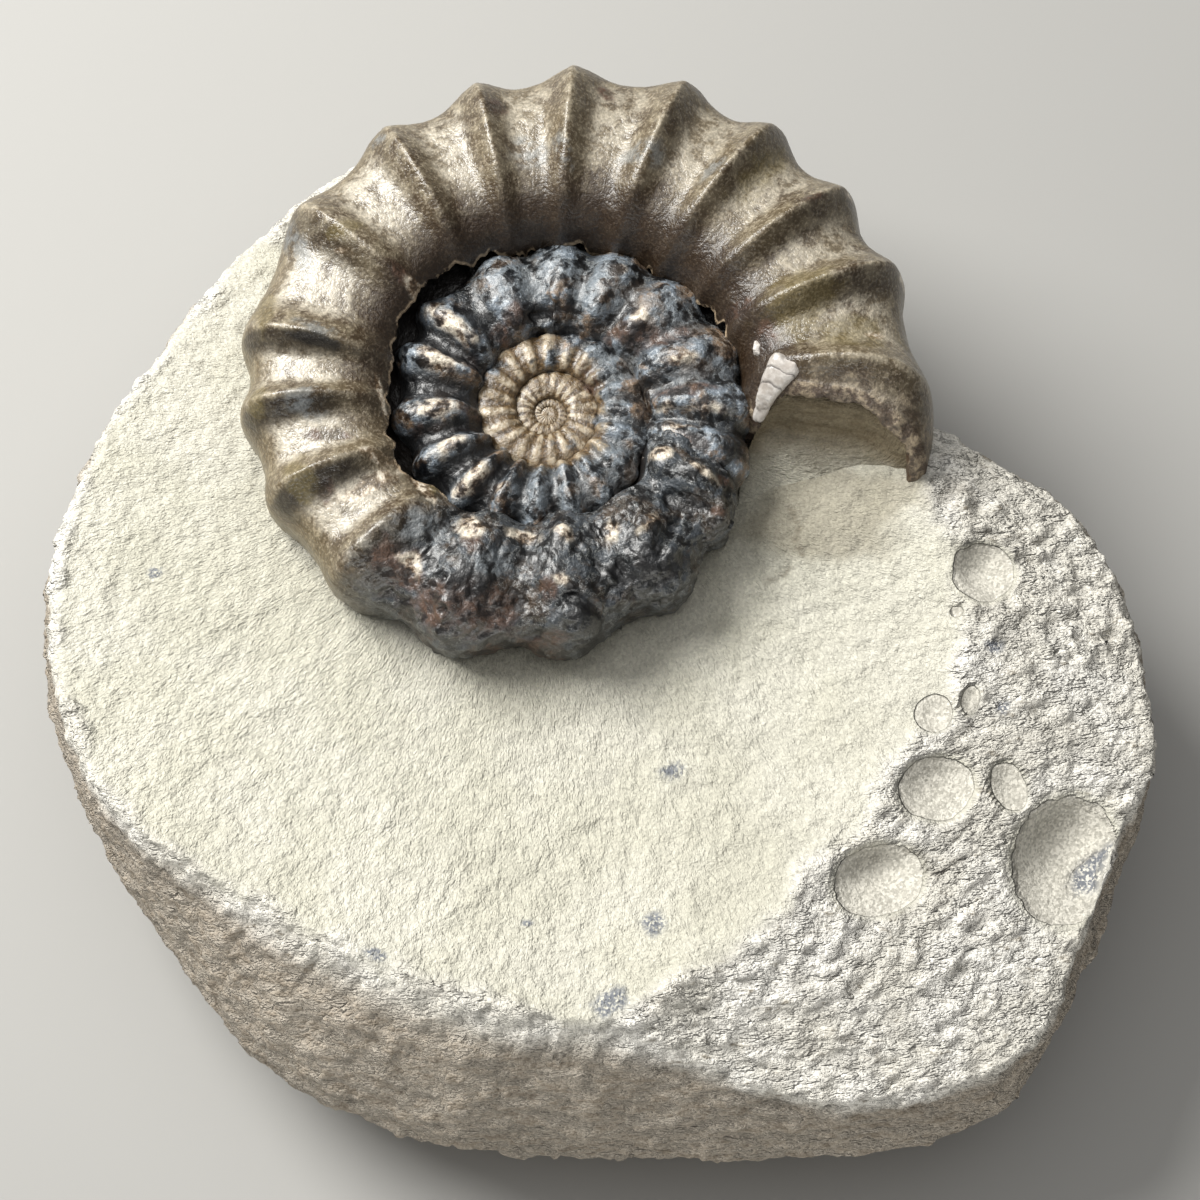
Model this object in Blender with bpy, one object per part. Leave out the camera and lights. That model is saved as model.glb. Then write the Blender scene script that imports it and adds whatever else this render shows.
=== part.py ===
"""A fossil ammonite, Androgynoceras, half prepared out of its stone.

The origin is on the shell's coil axis, in the plane that the stone rests on. +Z is up, out of the
stone's face. +X points to the shell's mouth, and the shell coils back from there anticlockwise.
Lengths are in millimetres and angles in degrees, until an object is made.
"""

import math

import bmesh
import bpy
from mathutils import Vector, noise

MM = 0.001
MERGE_DISTANCE = 0.02
LEVEL_TOLERANCE = 0.01
SMOOTH_ANGLE = math.radians(40)
SHELL_COLOUR = (0.16, 0.125, 0.09)
SHELL_ROUGHNESS = 0.3
STONE_COLOUR = (0.62, 0.58, 0.5)
STONE_ROUGHNESS = 0.9

# The shell. Its coil lies level at COIL_HEIGHT, and its rim is given by angle back from the mouth.
COIL_HEIGHT = 26.0
TURNS = 3.6
FIRST_TURN_RADIUS = (
    (-30, 33.0), (0, 33.0), (60, 33.1), (90, 32.2), (120, 29.8), (150, 28.0), (180, 26.3),
    (210, 24.6), (240, 22.8), (270, 21.2), (300, 19.9), (330, 18.7), (360, 17.9), (390, 16.9),
)
SECOND_TURN_RADIUS = 17.9
GROWTH_PER_TURN = 2.0
HALF_WIDTH = 0.245
OVERLAP = 0.97
SECTION_POWER = 0.8
SECTION_ROWS = (0, 18, 42, 68, 94, 122, 150)
CENTRE_RISE = 0.6

# The mouth is cut off in a plane: its outer side reaches further forward, and its top leans back.
MOUTH_SKEW = 0.4
MOUTH_SLOPE = 0.25

# The ribs. Four columns of skin make one rib, and the first crest is one column behind the mouth.
RIB_ANGLES = (5, 21, 36, 51.5, 67.5, 86, 102.5, 120, 141, 167, 182, 200.5, 222, 243, 264, 285,
              306, 326, 345)
RIB_SHAPE = (1.0, 0.1, -0.4, 0.1)
RIB_HEIGHT = 0.034
RIB_FADE = 80.0
STEPS_PER_RIB = len(RIB_SHAPE)
COLUMNS = STEPS_PER_RIB * len(RIB_ANGLES)

# The hidden flank is a plain bowl with a flat floor: how far each row is drawn in, and its share of
# the half width.
BOWL_ROWS = ((0.03, 0.5), (0.13, 0.9))
FLOOR_INSET = 0.35
FLOOR_DEPTH = 7.2

# The stone. Its outlines run round its own middle: an angle, a distance and a height.
STONE_MIDDLE = (3.0, -16.0)
FLAT_RADIUS = 26.0
RIDGE = (
    (5, 32.0, 27.1), (14, 31.2, 27.3), (24, 32.2, 26.6), (38, 33.8, 22.8), (52, 38.8, 21.8),
    (66, 43.8, 21.8), (80, 48.2, 22.6), (99, 48.8, 22.6), (126, 46.1, 22.5), (147, 44.3, 23.0),
    (161, 44.3, 23.7), (173, 45.2, 24.5), (188, 45.1, 25.7), (205, 43.8, 27.0), (222, 39.3, 27.5),
    (242, 36.9, 27.7), (260, 37.3, 27.7), (274, 37.6, 27.3), (287, 34.2, 26.9), (300, 33.0, 26.5),
    (310, 30.8, 26.1), (322, 30.6, 25.9), (334, 30.7, 25.7), (345, 33.2, 26.1), (354, 33.6, 26.7),
)
FACE_EDGE = (
    (2, 46.5, 23.5), (12, 42.5, 24.3), (19, 37.6, 25.0), (27, 34.4, 25.0), (38, 35.2, 22.4),
    (52, 40.0, 21.4), (66, 44.8, 21.4), (80, 49.2, 22.1), (99, 49.7, 22.1), (126, 47.0, 21.9),
    (147, 45.2, 22.3), (161, 45.2, 23.0), (175, 46.2, 23.9), (190, 46.0, 25.0), (205, 44.6, 26.3),
    (222, 40.1, 26.8), (242, 37.7, 27.0), (260, 38.1, 27.0), (274, 38.6, 26.5), (282, 40.9, 24.6),
    (293, 47.1, 22.0), (305, 52.1, 21.5), (314, 54.3, 21.5), (324, 52.0, 21.8), (335, 50.6, 22.2),
    (344, 51.2, 22.9), (351, 49.3, 23.2),
)
BELLY = (
    (2, 48.0, 15.5), (15, 43.0, 15.5), (27, 36.0, 15.5), (42, 37.3, 15.0), (66, 46.0, 15.0),
    (90, 49.8, 15.0), (126, 47.8, 15.0), (150, 46.4, 15.0), (165, 46.8, 15.0), (181, 48.0, 14.5),
    (198, 47.2, 13.0), (217, 46.3, 12.5), (236, 48.0, 12.5), (254, 47.4, 12.5), (276, 47.4, 12.5),
    (292, 50.6, 12.5), (309, 56.0, 12.5), (326, 53.2, 13.5), (343, 51.6, 16.0),
)
RING_POINTS = 72
UNDERSIDE_ROWS = (0.0, 0.3, 0.58, 0.82, 1.0)
WALL_ROWS = (0.4, 0.75, 1.0)
WALL_CURVE = 1.5
BROKEN_ROWS = (0.35, 0.7, 1.0)
DISH_ROWS = (0.93, 0.8, 0.64, 0.46, 0.26)
DISH_HEIGHT = 22.2
DISH_CURVE = 2.2
LUMP_SIZE = 7.0
LUMP_HEIGHT = 0.45

# Moulds of small shells in the broken face: x, y, height of the face there, radius and depth.
MOULD_SEGMENTS = (20, 14)
MOULDS = (
    (37.5, -14.7, 25.7, 2.6, 0.8), (32.6, -27.2, 25.2, 1.8, 0.7), (33.1, -33.3, 24.9, 2.8, 1.0),
    (39.1, -33.0, 24.1, 1.8, 0.7), (27.4, -42.3, 24.4, 3.6, 1.1), (43.9, -39.7, 22.9, 4.9, 1.6),
)

# Stone fills the mouth inside the shell's wall, and runs down to the dish in front of it: how far
# in front of the mouth each row is, and its share of the mouth's height.
SHELL_WALL = 1.2
FILL_ROWS = ((2.0, 1.0), (-0.9, 0.86), (-2.4, 0.6), (-4.4, 0.32), (-7.2, 0.1))
FILL_LAST_LEAN = 175
FILL_OVERLAP = 3.0
FILL_FOOT = 17.0

# Where the stone meets the shell, it stands this far clear of it.
CLEARANCE = 0.35
CUTTER_RISE = 20.0


def clear_scene():
    for item in list(bpy.data.objects):
        bpy.data.objects.remove(item, do_unlink=True)


def make_collection(name):
    collection = bpy.data.collections.new(name)
    bpy.context.scene.collection.children.link(collection)
    return collection


def make_material(name, colour, roughness):
    material = bpy.data.materials.new(name)
    material.use_nodes = True
    shader = material.node_tree.nodes["Principled BSDF"]
    shader.inputs["Base Color"].default_value = (*colour, 1.0)
    shader.inputs["Roughness"].default_value = roughness
    shader.inputs["Metallic"].default_value = 0.0
    return material


def make_object(name, bm, collection):
    """A closed bmesh in millimetres becomes an object in metres, facing out."""
    bmesh.ops.remove_doubles(bm, verts=bm.verts, dist=MERGE_DISTANCE)
    bmesh.ops.recalc_face_normals(bm, faces=bm.faces)
    bmesh.ops.scale(bm, vec=(MM, MM, MM), verts=bm.verts)
    mesh = bpy.data.meshes.new(name)
    bm.to_mesh(mesh)
    bm.free()
    mesh.shade_smooth()
    mesh.set_sharp_from_angle(angle=SMOOTH_ANGLE)
    item = bpy.data.objects.new(name, mesh)
    collection.objects.link(item)
    return item


def add_boolean(item, tool, operation):
    modifier = item.modifiers.new(tool.name, "BOOLEAN")
    modifier.operation = operation
    modifier.solver = "EXACT"
    modifier.object = tool
    tool.hide_render = True
    tool.display_type = "WIRE"


def curve_through(points, x):
    """Reads a smooth curve through (x, value, ...) points, and returns its values at x."""
    last = len(points) - 2
    step = next((k for k in range(1, last) if points[k + 1][0] >= x), last - 1)
    before, start, end, after = points[step - 1:step + 3]
    span = end[0] - start[0]
    u = (x - start[0]) / span
    values = []
    for k in range(1, len(start)):
        slope_in = (end[k] - before[k]) / (end[0] - before[0]) * span
        slope_out = (after[k] - start[k]) / (after[0] - start[0]) * span
        rise = end[k] - start[k]
        bend = slope_in + slope_out - 2 * rise
        values.append(start[k] + u * (slope_in + u * (rise - slope_in - bend + u * bend)))
    return values


def around(points, angle):
    """Reads a closed outline of (angle, value, ...) points at any angle."""
    repeated = [(p[0] + turn, *p[1:]) for turn in (-360, 0, 360) for p in points]
    return curve_through(repeated, angle % 360)


def sweep_grid(bm, columns, rows, place):
    """Adds a grid and puts each of its vertices where place(column, row) says, or deletes it."""
    made = bmesh.ops.create_grid(bm, x_segments=columns, y_segments=rows, size=1.0)["verts"]
    left_out = []
    for vert in made:
        column = round((vert.co.x + 1) / 2 * columns)
        row = round((vert.co.y + 1) / 2 * rows)
        point = place(column, row)
        if point is None:
            left_out.append(vert)
        else:
            vert.co = point
    bmesh.ops.delete(bm, geom=left_out, context="VERTS")
    bmesh.ops.remove_doubles(bm, verts=bm.verts, dist=MERGE_DISTANCE)


def coil_radius(angle):
    """The rim's distance from the coil axis, this many degrees back from the mouth."""
    if angle > 360:
        return SECOND_TURN_RADIUS * GROWTH_PER_TURN ** ((360 - angle) / 360)
    return curve_through(FIRST_TURN_RADIUS, angle)[0]


def rib_crest(number):
    turn, rib = divmod(number, len(RIB_ANGLES))
    return RIB_ANGLES[rib] + 360 * turn


def column_angle(column):
    rib, part = divmod(column - 1, STEPS_PER_RIB)
    share = part / STEPS_PER_RIB
    return rib_crest(rib) * (1 - share) + rib_crest(rib + 1) * share


def signed_power(value, power):
    return math.copysign(abs(value) ** power, value)


def shell_point(column, lean, inset=0.0):
    """A point of a whorl's skin. Its lean is 0 on the rim, 90 on top and 180 against the next turn."""
    angle = column_angle(column)
    outer = coil_radius(angle)
    inner = coil_radius(angle + 360) * OVERLAP
    rib = RIB_SHAPE[(column - 1) % STEPS_PER_RIB] * RIB_HEIGHT * outer
    rib *= min(1.0, (180 - lean) / RIB_FADE)
    sine = math.sin(math.radians(lean))
    cosine = math.cos(math.radians(lean))
    across = (outer - inner) / 2 * signed_power(cosine, SECTION_POWER) + (rib - inset) * cosine
    up = HALF_WIDTH * outer * signed_power(sine, SECTION_POWER) + (rib - inset) * sine
    radius = (outer + inner) / 2 + across
    if column == 0:
        return Vector((radius, MOUTH_SLOPE * up - MOUTH_SKEW * (radius - inner), COIL_HEIGHT + up))
    turned = math.radians(angle)
    return Vector((radius * math.cos(turned), radius * math.sin(turned), COIL_HEIGHT + up))


def whorl_place(column, row):
    """Each turn's inner edge is the next turn's outer one, and only the first shows its rim."""
    if row == 0 and column > COLUMNS:
        return None
    if row == len(SECTION_ROWS):
        return shell_point(column + COLUMNS, SECTION_ROWS[1])
    return shell_point(column, SECTION_ROWS[row])


def edges_of(items):
    return [item for item in items if isinstance(item, bmesh.types.BMEdge)]


def verts_of(items):
    return [item for item in items if isinstance(item, bmesh.types.BMVert)]


def add_bowl(bm, rim):
    """Draws the closed rim loop down and in, row by row, and closes it with the floor."""
    loop = rim
    before = 0.0
    for inset, share in BOWL_ROWS + ((FLOOR_INSET, None),):
        made = bmesh.ops.extrude_edge_only(bm, edges=loop)["geom"]
        for vert in verts_of(made):
            at_rim = Vector((vert.co.x, vert.co.y, 0)) / (1 - before)
            depth = HALF_WIDTH * at_rim.length * share if share else FLOOR_DEPTH
            vert.co = at_rim * (1 - inset) + Vector((0, 0, COIL_HEIGHT - depth))
        loop = edges_of(made)
        before = inset
    bmesh.ops.edgeloop_fill(bm, edges=loop)


def build_ammonite(collection):
    bm = bmesh.new()
    sweep_grid(bm, round(TURNS * COLUMNS), len(SECTION_ROWS), whorl_place)

    rim_ends = [shell_point(column, 0) for column in (0, COLUMNS)]
    corners = [min(bm.verts, key=lambda v, end=end: (v.co - end).length) for end in rim_ends]
    mouth_line = bm.edges.new(corners)
    level = COIL_HEIGHT + LEVEL_TOLERANCE
    open_edges = [edge for edge in bm.edges if edge.is_boundary]
    rim = [e for e in open_edges if all(v.co.z < level for v in e.verts)]
    centre = [e for e in open_edges if all(v.co.xy.length < coil_radius(720) for v in e.verts)]
    mouth = [e for e in open_edges if e not in rim and e not in centre]
    bmesh.ops.edgeloop_fill(bm, edges=mouth + [mouth_line])

    cap = bmesh.ops.edgeloop_fill(bm, edges=centre)["faces"]
    first_chamber = bmesh.ops.poke(bm, faces=cap)["verts"][0]
    first_chamber.co = (0, 0, COIL_HEIGHT + CENTRE_RISE)

    add_bowl(bm, rim + [mouth_line])
    item = make_object("ammonite", bm, collection)
    item.data.materials.append(make_material("fossil_shell", SHELL_COLOUR, SHELL_ROUGHNESS))
    return item


def build_shell_cutter(collection):
    """The room the shell takes in the stone: its rim, the bowl below and open space above it."""
    bm = bmesh.new()
    loop = [bm.verts.new(shell_point(column, 0)) for column in range(COLUMNS + 1)]
    rim = [bm.edges.new((loop[k - 1], loop[k])) for k in range(len(loop))]
    top = bmesh.ops.extrude_edge_only(bm, edges=rim)["geom"]
    for vert in verts_of(top):
        at_mouth = any(vert.co.xy == loop[k].co.xy for k in (0, COLUMNS))
        vert.co += CUTTER_RISE * Vector((0, MOUTH_SLOPE if at_mouth else 0, 1))
    bmesh.ops.edgeloop_fill(bm, edges=edges_of(top))
    add_bowl(bm, rim)
    bmesh.ops.recalc_face_normals(bm, faces=bm.faces)
    bm.normal_update()
    for vert in bm.verts:
        vert.co += vert.normal * CLEARANCE
    return make_object("shell_cutter", bm, collection)


def build_mouth_fill(collection):
    """The stone in the mouth is a hollow slope, from just inside the shell's wall to the dish."""
    leans = SECTION_ROWS + (FILL_LAST_LEAN,)

    def place(column, row):
        ahead, share = FILL_ROWS[row]
        point = shell_point(0, leans[column], inset=SHELL_WALL)
        sideways = FILL_OVERLAP if column == len(leans) - 1 else 0
        height = DISH_HEIGHT + (point.z - DISH_HEIGHT) * share
        return Vector((point.x - sideways, point.y + ahead, height))

    bm = bmesh.new()
    sweep_grid(bm, len(leans) - 1, len(FILL_ROWS) - 1, place)
    sides = bmesh.ops.extrude_edge_only(bm, edges=[e for e in bm.edges if e.is_boundary])["geom"]
    for vert in verts_of(sides):
        vert.co.z = FILL_FOOT
    bmesh.ops.edgeloop_fill(bm, edges=edges_of(sides))
    return make_object("mouth_fill", bm, collection)


def build_mould_cutter(collection):
    """Each mould is the cap of a ball that sinks into the broken face."""
    bm = bmesh.new()
    round_it, up_it = MOULD_SEGMENTS
    for x, y, height, radius, depth in MOULDS:
        ball_radius = (radius ** 2 + depth ** 2) / (2 * depth)
        ball = bmesh.ops.create_uvsphere(
            bm, u_segments=round_it, v_segments=up_it, radius=ball_radius
        )
        bmesh.ops.translate(bm, vec=(x, y, height + ball_radius - depth), verts=ball["verts"])
    return make_object("mould_cutter", bm, collection)


def stone_profile(angle):
    """The stone's outline from its flat to its dish at one angle: distances and heights."""
    belly, belly_height = around(BELLY, angle)
    edge, edge_height = around(FACE_EDGE, angle)
    ridge, ridge_height = around(RIDGE, angle)
    profile = []
    for share in UNDERSIDE_ROWS:
        turned = share * math.pi / 2
        reach = FLAT_RADIUS + (belly - FLAT_RADIUS) * math.sin(turned)
        profile.append((reach, belly_height * (1 - math.cos(turned))))
    for share in WALL_ROWS:
        reach = belly + (edge - belly) * share ** WALL_CURVE
        profile.append((reach, belly_height + (edge_height - belly_height) * share))
    for share in BROKEN_ROWS:
        reach = edge + (ridge - edge) * share
        profile.append((reach, edge_height + (ridge_height - edge_height) * share))
    for share in DISH_ROWS:
        height = DISH_HEIGHT + (ridge_height - DISH_HEIGHT) * share ** DISH_CURVE
        profile.append((ridge * share, height))
    return profile


def stone_point(column, row):
    """Rough rows are pushed in and out by a lumpy field, and the flat and the dish are not."""
    turned = math.radians(column % RING_POINTS * 360 / RING_POINTS)
    reach, height = stone_profile(math.degrees(turned))[row]
    outward = Vector((math.cos(turned), math.sin(turned), 0))
    point = Vector((*STONE_MIDDLE, height)) + outward * reach
    rough_end = len(UNDERSIDE_ROWS) + len(WALL_ROWS) + len(BROKEN_ROWS) - 1
    if 0 < row < rough_end:
        point += outward * LUMP_HEIGHT * noise.noise(point / LUMP_SIZE)
    return point


def build_matrix(collection, mouth_fill, shell_cutter, mould_cutter):
    rows = len(UNDERSIDE_ROWS) + len(WALL_ROWS) + len(BROKEN_ROWS) + len(DISH_ROWS)
    bm = bmesh.new()
    sweep_grid(bm, RING_POINTS, rows - 1, stone_point)
    bmesh.ops.holes_fill(bm, edges=bm.edges, sides=RING_POINTS)
    item = make_object("matrix", bm, collection)
    item.data.materials.append(make_material("mudstone", STONE_COLOUR, STONE_ROUGHNESS))
    add_boolean(item, mouth_fill, "UNION")
    add_boolean(item, shell_cutter, "DIFFERENCE")
    add_boolean(item, mould_cutter, "DIFFERENCE")
    return item


clear_scene()
pieces = make_collection("fossil_ammonite")
cutters = make_collection("cutters")
build_ammonite(pieces)
build_matrix(
    pieces, build_mouth_fill(cutters), build_shell_cutter(cutters), build_mould_cutter(cutters)
)
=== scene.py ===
import math
from types import SimpleNamespace

import bmesh
import bpy
import numpy as np
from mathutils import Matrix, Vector, noise


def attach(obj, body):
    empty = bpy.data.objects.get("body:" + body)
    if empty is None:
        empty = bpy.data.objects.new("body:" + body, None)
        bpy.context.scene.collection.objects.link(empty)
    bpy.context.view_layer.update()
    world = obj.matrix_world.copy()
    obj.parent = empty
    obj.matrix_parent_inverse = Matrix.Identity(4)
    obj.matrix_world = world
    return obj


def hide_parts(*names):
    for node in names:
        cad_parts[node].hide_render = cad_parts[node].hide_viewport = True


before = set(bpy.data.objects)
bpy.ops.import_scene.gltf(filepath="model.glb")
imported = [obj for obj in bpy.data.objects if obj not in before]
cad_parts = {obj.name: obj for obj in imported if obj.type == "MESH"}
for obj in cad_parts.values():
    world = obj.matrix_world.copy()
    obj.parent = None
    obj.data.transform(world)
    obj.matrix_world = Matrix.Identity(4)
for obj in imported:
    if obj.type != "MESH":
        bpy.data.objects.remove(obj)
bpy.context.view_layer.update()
# The stone is one rounded lump of pale grey mudstone, about 98 mm long and 28 mm thick. Its face is a
# smooth dish round the shell, broken rough at the right and below, with clean hollows in the break.
# Its underside has a small flat spot that it rests on.
MM = 0.001
STONE_MIDDLE = np.array((3.0, -16.0))
FLAT_RADIUS = 26.0
DISH_HEIGHT = 22.2
DISH_CURVE = 2.2
WALL_CURVE = 1.5
# Outlines that run round the middle: an angle, a distance and a height.
RIDGE = (
    (5, 32.0, 27.1), (14, 31.2, 27.3), (24, 32.2, 26.6), (38, 33.8, 22.8), (52, 38.8, 21.8),
    (66, 43.8, 21.8), (80, 47.8, 22.6), (99, 47.9, 22.6), (126, 45.2, 22.5), (147, 43.7, 23.0),
    (161, 44.3, 23.7), (173, 45.2, 24.5), (188, 45.1, 25.7), (205, 43.8, 27.0), (222, 39.3, 27.5),
    (242, 36.9, 27.7), (260, 37.3, 27.7), (274, 37.6, 27.3), (287, 34.2, 26.9), (300, 33.0, 26.5),
    (310, 30.8, 26.1), (322, 30.6, 25.9), (334, 30.7, 25.7), (345, 33.2, 26.1), (354, 33.6, 26.7),
)
FACE_EDGE = (
    (2, 46.5, 23.5), (12, 42.5, 24.3), (19, 37.6, 25.0), (27, 34.4, 25.0), (38, 35.2, 22.4),
    (52, 40.0, 21.4), (66, 44.8, 21.4), (80, 48.8, 22.1), (99, 48.8, 22.1), (126, 46.1, 21.9),
    (147, 44.6, 22.3), (161, 45.2, 23.0), (175, 46.2, 23.9), (190, 46.0, 25.0), (205, 44.6, 26.3),
    (222, 40.1, 26.8), (242, 37.7, 27.0), (260, 38.1, 27.0), (274, 38.6, 26.5), (282, 40.9, 24.6),
    (293, 47.1, 22.0), (305, 52.1, 21.5), (314, 54.3, 21.5), (324, 52.0, 21.8), (335, 50.6, 22.2),
    (344, 51.2, 22.9), (351, 49.3, 23.2),
)
BELLY = (
    (2, 48.0, 15.5), (15, 43.0, 15.5), (27, 36.0, 15.5), (42, 37.3, 15.0), (66, 46.0, 15.0),
    (90, 49.2, 15.0), (126, 46.8, 15.0), (150, 45.9, 15.0), (165, 46.8, 15.0), (181, 48.0, 14.5),
    (198, 47.2, 13.0), (217, 46.3, 12.5), (236, 48.0, 12.5), (254, 47.4, 12.5), (276, 47.4, 12.5),
    (292, 50.6, 12.5), (309, 56.0, 12.5), (326, 53.2, 13.5), (343, 51.6, 16.0),
)
FACE_CELLS = 240
WALL_ROWS = 32
UNDER_ROWS = 10
ROW_STEP = 0.01
FACE_SPREAD = 0.5
# The face's edge is smoothed this often, over these rows of the wall and this far into the face.
EDGE_ROUNDINGS = 5
EDGE_ROWS = 6
EDGE_WIDTH = 3.0
# The skin gets smooth from this height down to the flat spot.
SETTLE_HEIGHT = 5.0
# The directions of the grain in the break and in the dish, in degrees.
BREAK_GRAIN = 24
DISH_GRAIN = 32
CRACK_DEPTH = 0.18
HOLLOW_POWER = 1.15
# Vector noise would start from the clock. With this the broken facets are the same in each run.
CHIP_SEED = 1
# Hollows in the break. Each is an ellipse, given by x, y, half its length, half its width and its
# turn, then by its depth and how much deeper it is at the top.
HOLLOWS = (
    (37.7, -14.7, 2.8, 2.6, 40, 1.00, 0.6), (35.3, -18.3, 0.6, 0.5, 0, 0.25, 0.3),
    (36.3, -26.0, 1.3, 0.8, 75, 0.30, 0.3), (33.1, -27.2, 1.7, 1.6, 50, 0.60, 0.4),
    (33.2, -33.6, 3.3, 2.7, 20, 0.85, 0.6), (39.5, -33.2, 2.1, 1.5, 110, 0.45, 0.3),
    (28.0, -41.6, 3.9, 2.9, 20, 1.35, 0.9), (44.3, -39.4, 5.6, 4.6, 70, 2.20, 0.7),
    (46.6, -40.4, 2.9, 1.5, 45, 0.40, 0.2),
)
# Blue-grey marks on the face. These and all later ellipses have no more than those first five values.
SPOTS = (
    (46.5, -40.3, 2.6, 1.3, 45), (38.5, -21.4, 0.9, 0.7, 0), (10.7, -31.7, 1.2, 0.8, 20),
    (9.2, -45.4, 1.3, 1.0, -50), (5.6, -52.4, 1.5, 1.1, 35), (-1.5, -45.4, 0.4, 0.3, 0),
    (-14.0, -48.4, 1.2, 0.5, -20), (-34.3, -14.0, 0.6, 0.5, 0), (39.0, -26.5, 0.6, 0.6, 0),
)
# Places where the break is deeply pitted.
PITTED = ((39.5, -10.8, 7.5, 2.2, -25), (47.0, -20.5, 3.5, 1.4, 10), (34.0, -30.3, 2.5, 1.0, 10))
# Where the dish below the shell's mouth is tinted brown. This is painted shadow of the mouth's arch.
MOUTH_SHADOW = ((25.0, -8.0, 9.5, 3.8, 0), (25.0, -6.5, 7.5, 2.6, 0))
# Thin cracks, each a line through points.
CRACKS = (
    ((21.2, -7.8), (22.0, -9.6), (21.7, -10.6), (22.2, -12.4)),
    ((19.0, -14.6), (20.2, -14.2), (21.3, -13.4)),
    ((30.4, -38.9), (31.8, -39.4), (32.3, -40.6), (33.3, -40.9), (35.3, -39.5)),
    ((23.6, -52.9), (24.0, -54.5), (26.1, -55.0), (27.4, -55.4), (27.9, -56.5)),
)

def curve_through(points, x):
    """Reads a smooth curve through (x, value, ...) points at every x of an array."""
    table = np.array(points, float)
    knots, values = table[:, 0], table[:, 1:]
    slopes = np.gradient(values, knots, axis=0)
    step = np.clip(np.searchsorted(knots, x) - 1, 0, len(knots) - 2)
    span = (knots[step + 1] - knots[step])[:, None]
    share = (x - knots[step])[:, None] / span
    slope_in = slopes[step] * span
    slope_out = slopes[step + 1] * span
    rise = values[step + 1] - values[step]
    bend = slope_in + slope_out - 2 * rise
    inner = slope_in + share * (rise - slope_in - bend + share * bend)
    return (values[step] + share * inner).T


def around(points, angle):
    """Reads a closed outline of (angle, value, ...) points at every angle of an array."""
    repeated = [(p[0] + turn, *p[1:]) for turn in (-360, 0, 360) for p in points]
    return curve_through(repeated, angle % 360)


def ease(start, end, x):
    """Goes smoothly from 0 at start to 1 at end."""
    share = np.clip((x - start) / (end - start), 0, 1)
    return share * share * (3 - 2 * share)


def verts_of(items):
    return [item for item in items if isinstance(item, bmesh.types.BMVert)]


def edges_of(items):
    return [item for item in items if isinstance(item, bmesh.types.BMEdge)]


def places_of(bm):
    return np.array([vert.co[:] for vert in bm.verts])


def normals_of(bm):
    bm.normal_update()
    return np.array([vert.normal[:] for vert in bm.verts])


def move_to(bm, places):
    for vert, place in zip(bm.verts, places.tolist()):
        vert.co = place


def lumps(places, size, octaves=4, seed=0.0):
    """Cloudy noise from about -1 to 1, with lumps of this size in millimetres."""
    shift = Vector((seed * 17.3, seed * 5.1, seed * 11.7))
    return np.array([
        noise.fractal(Vector(place) / size + shift, 1.0, 2.0, octaves, noise_basis="PERLIN_ORIGINAL")
        for place in places.tolist()
    ])


def chips(places, size, seed=0.0):
    """Flat tilted facets about this wide, as broken mudstone has, from about -1 to 1."""
    shift = Vector((seed * 3.7, seed * 9.1, seed * 6.3))
    middle = Vector((0.5, 0.5, 0.5))
    noise.seed_set(CHIP_SEED)
    heights = []
    for place in places.tolist():
        spot = Vector(place) / size + shift
        spot += 0.35 * noise.noise_vector(spot * 1.3)
        near = noise.voronoi(spot)[1][0]
        tilt = noise.cell_vector(near * 13.7) - middle
        heights.append(2.0 * (spot - near).dot(tilt) + 0.6 * tilt.x)
    return np.array(heights)


def ellipse_reach(places, x, y, length, width, turn):
    """How far each place is from an ellipse's middle, which is 1 on its outline."""
    turned = math.radians(turn)
    across = (places[:, 0] - x) * math.cos(turned) + (places[:, 1] - y) * math.sin(turned)
    up = (places[:, 1] - y) * math.cos(turned) - (places[:, 0] - x) * math.sin(turned)
    return np.hypot(across / length, up / width)


def paint(places, ellipses, ragged):
    """How far each place is inside any of these ellipses, from 0 to 1, with ragged outlines."""
    shown = np.zeros(len(places))
    for x, y, length, width, turn in ellipses:
        reach = ellipse_reach(places, x, y, length, width, turn)
        shown = np.maximum(shown, ease(1.3, 0.6, reach + 0.5 * ragged))
    return shown


def line_distance(places, points):
    """How far each place is from a line through points, seen from above."""
    nearest = np.full(len(places), 1e3)
    for start, end in zip(points[:-1], points[1:]):
        step = np.subtract(end, start)
        share = np.clip((places[:, :2] - start) @ step / (step @ step), 0, 1)
        gap = places[:, :2] - start - share[:, None] * step
        nearest = np.minimum(nearest, np.hypot(gap[:, 0], gap[:, 1]))
    return nearest


def along(places, direction, stretch):
    """Squeezes places along a level direction, so that noise read there is drawn out along it."""
    turned = math.radians(direction)
    axis = np.array((math.cos(turned), math.sin(turned), 0.0))
    return places - np.outer(places @ axis, axis) * (1 - 1 / stretch)


def make_piece(name, bm, material, node, marks=None):
    """Makes a closed bmesh in millimetres a piece in metres that stands for a CAD node."""
    bmesh.ops.scale(bm, vec=(MM, MM, MM), verts=bm.verts)
    mesh = bpy.data.meshes.new(name)
    bm.to_mesh(mesh)
    bm.free()
    mesh.shade_smooth()
    for mark, values in (marks or {}).items():
        layer = mesh.attributes.new(mark, "FLOAT", "POINT")
        layer.data.foreach_set("value", np.ascontiguousarray(values, dtype=np.float32))
    mesh.materials.append(material)
    piece = bpy.data.objects.new(name, mesh)
    bpy.context.scene.collection.objects.link(piece)
    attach(piece, "root")
    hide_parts(node)


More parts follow.
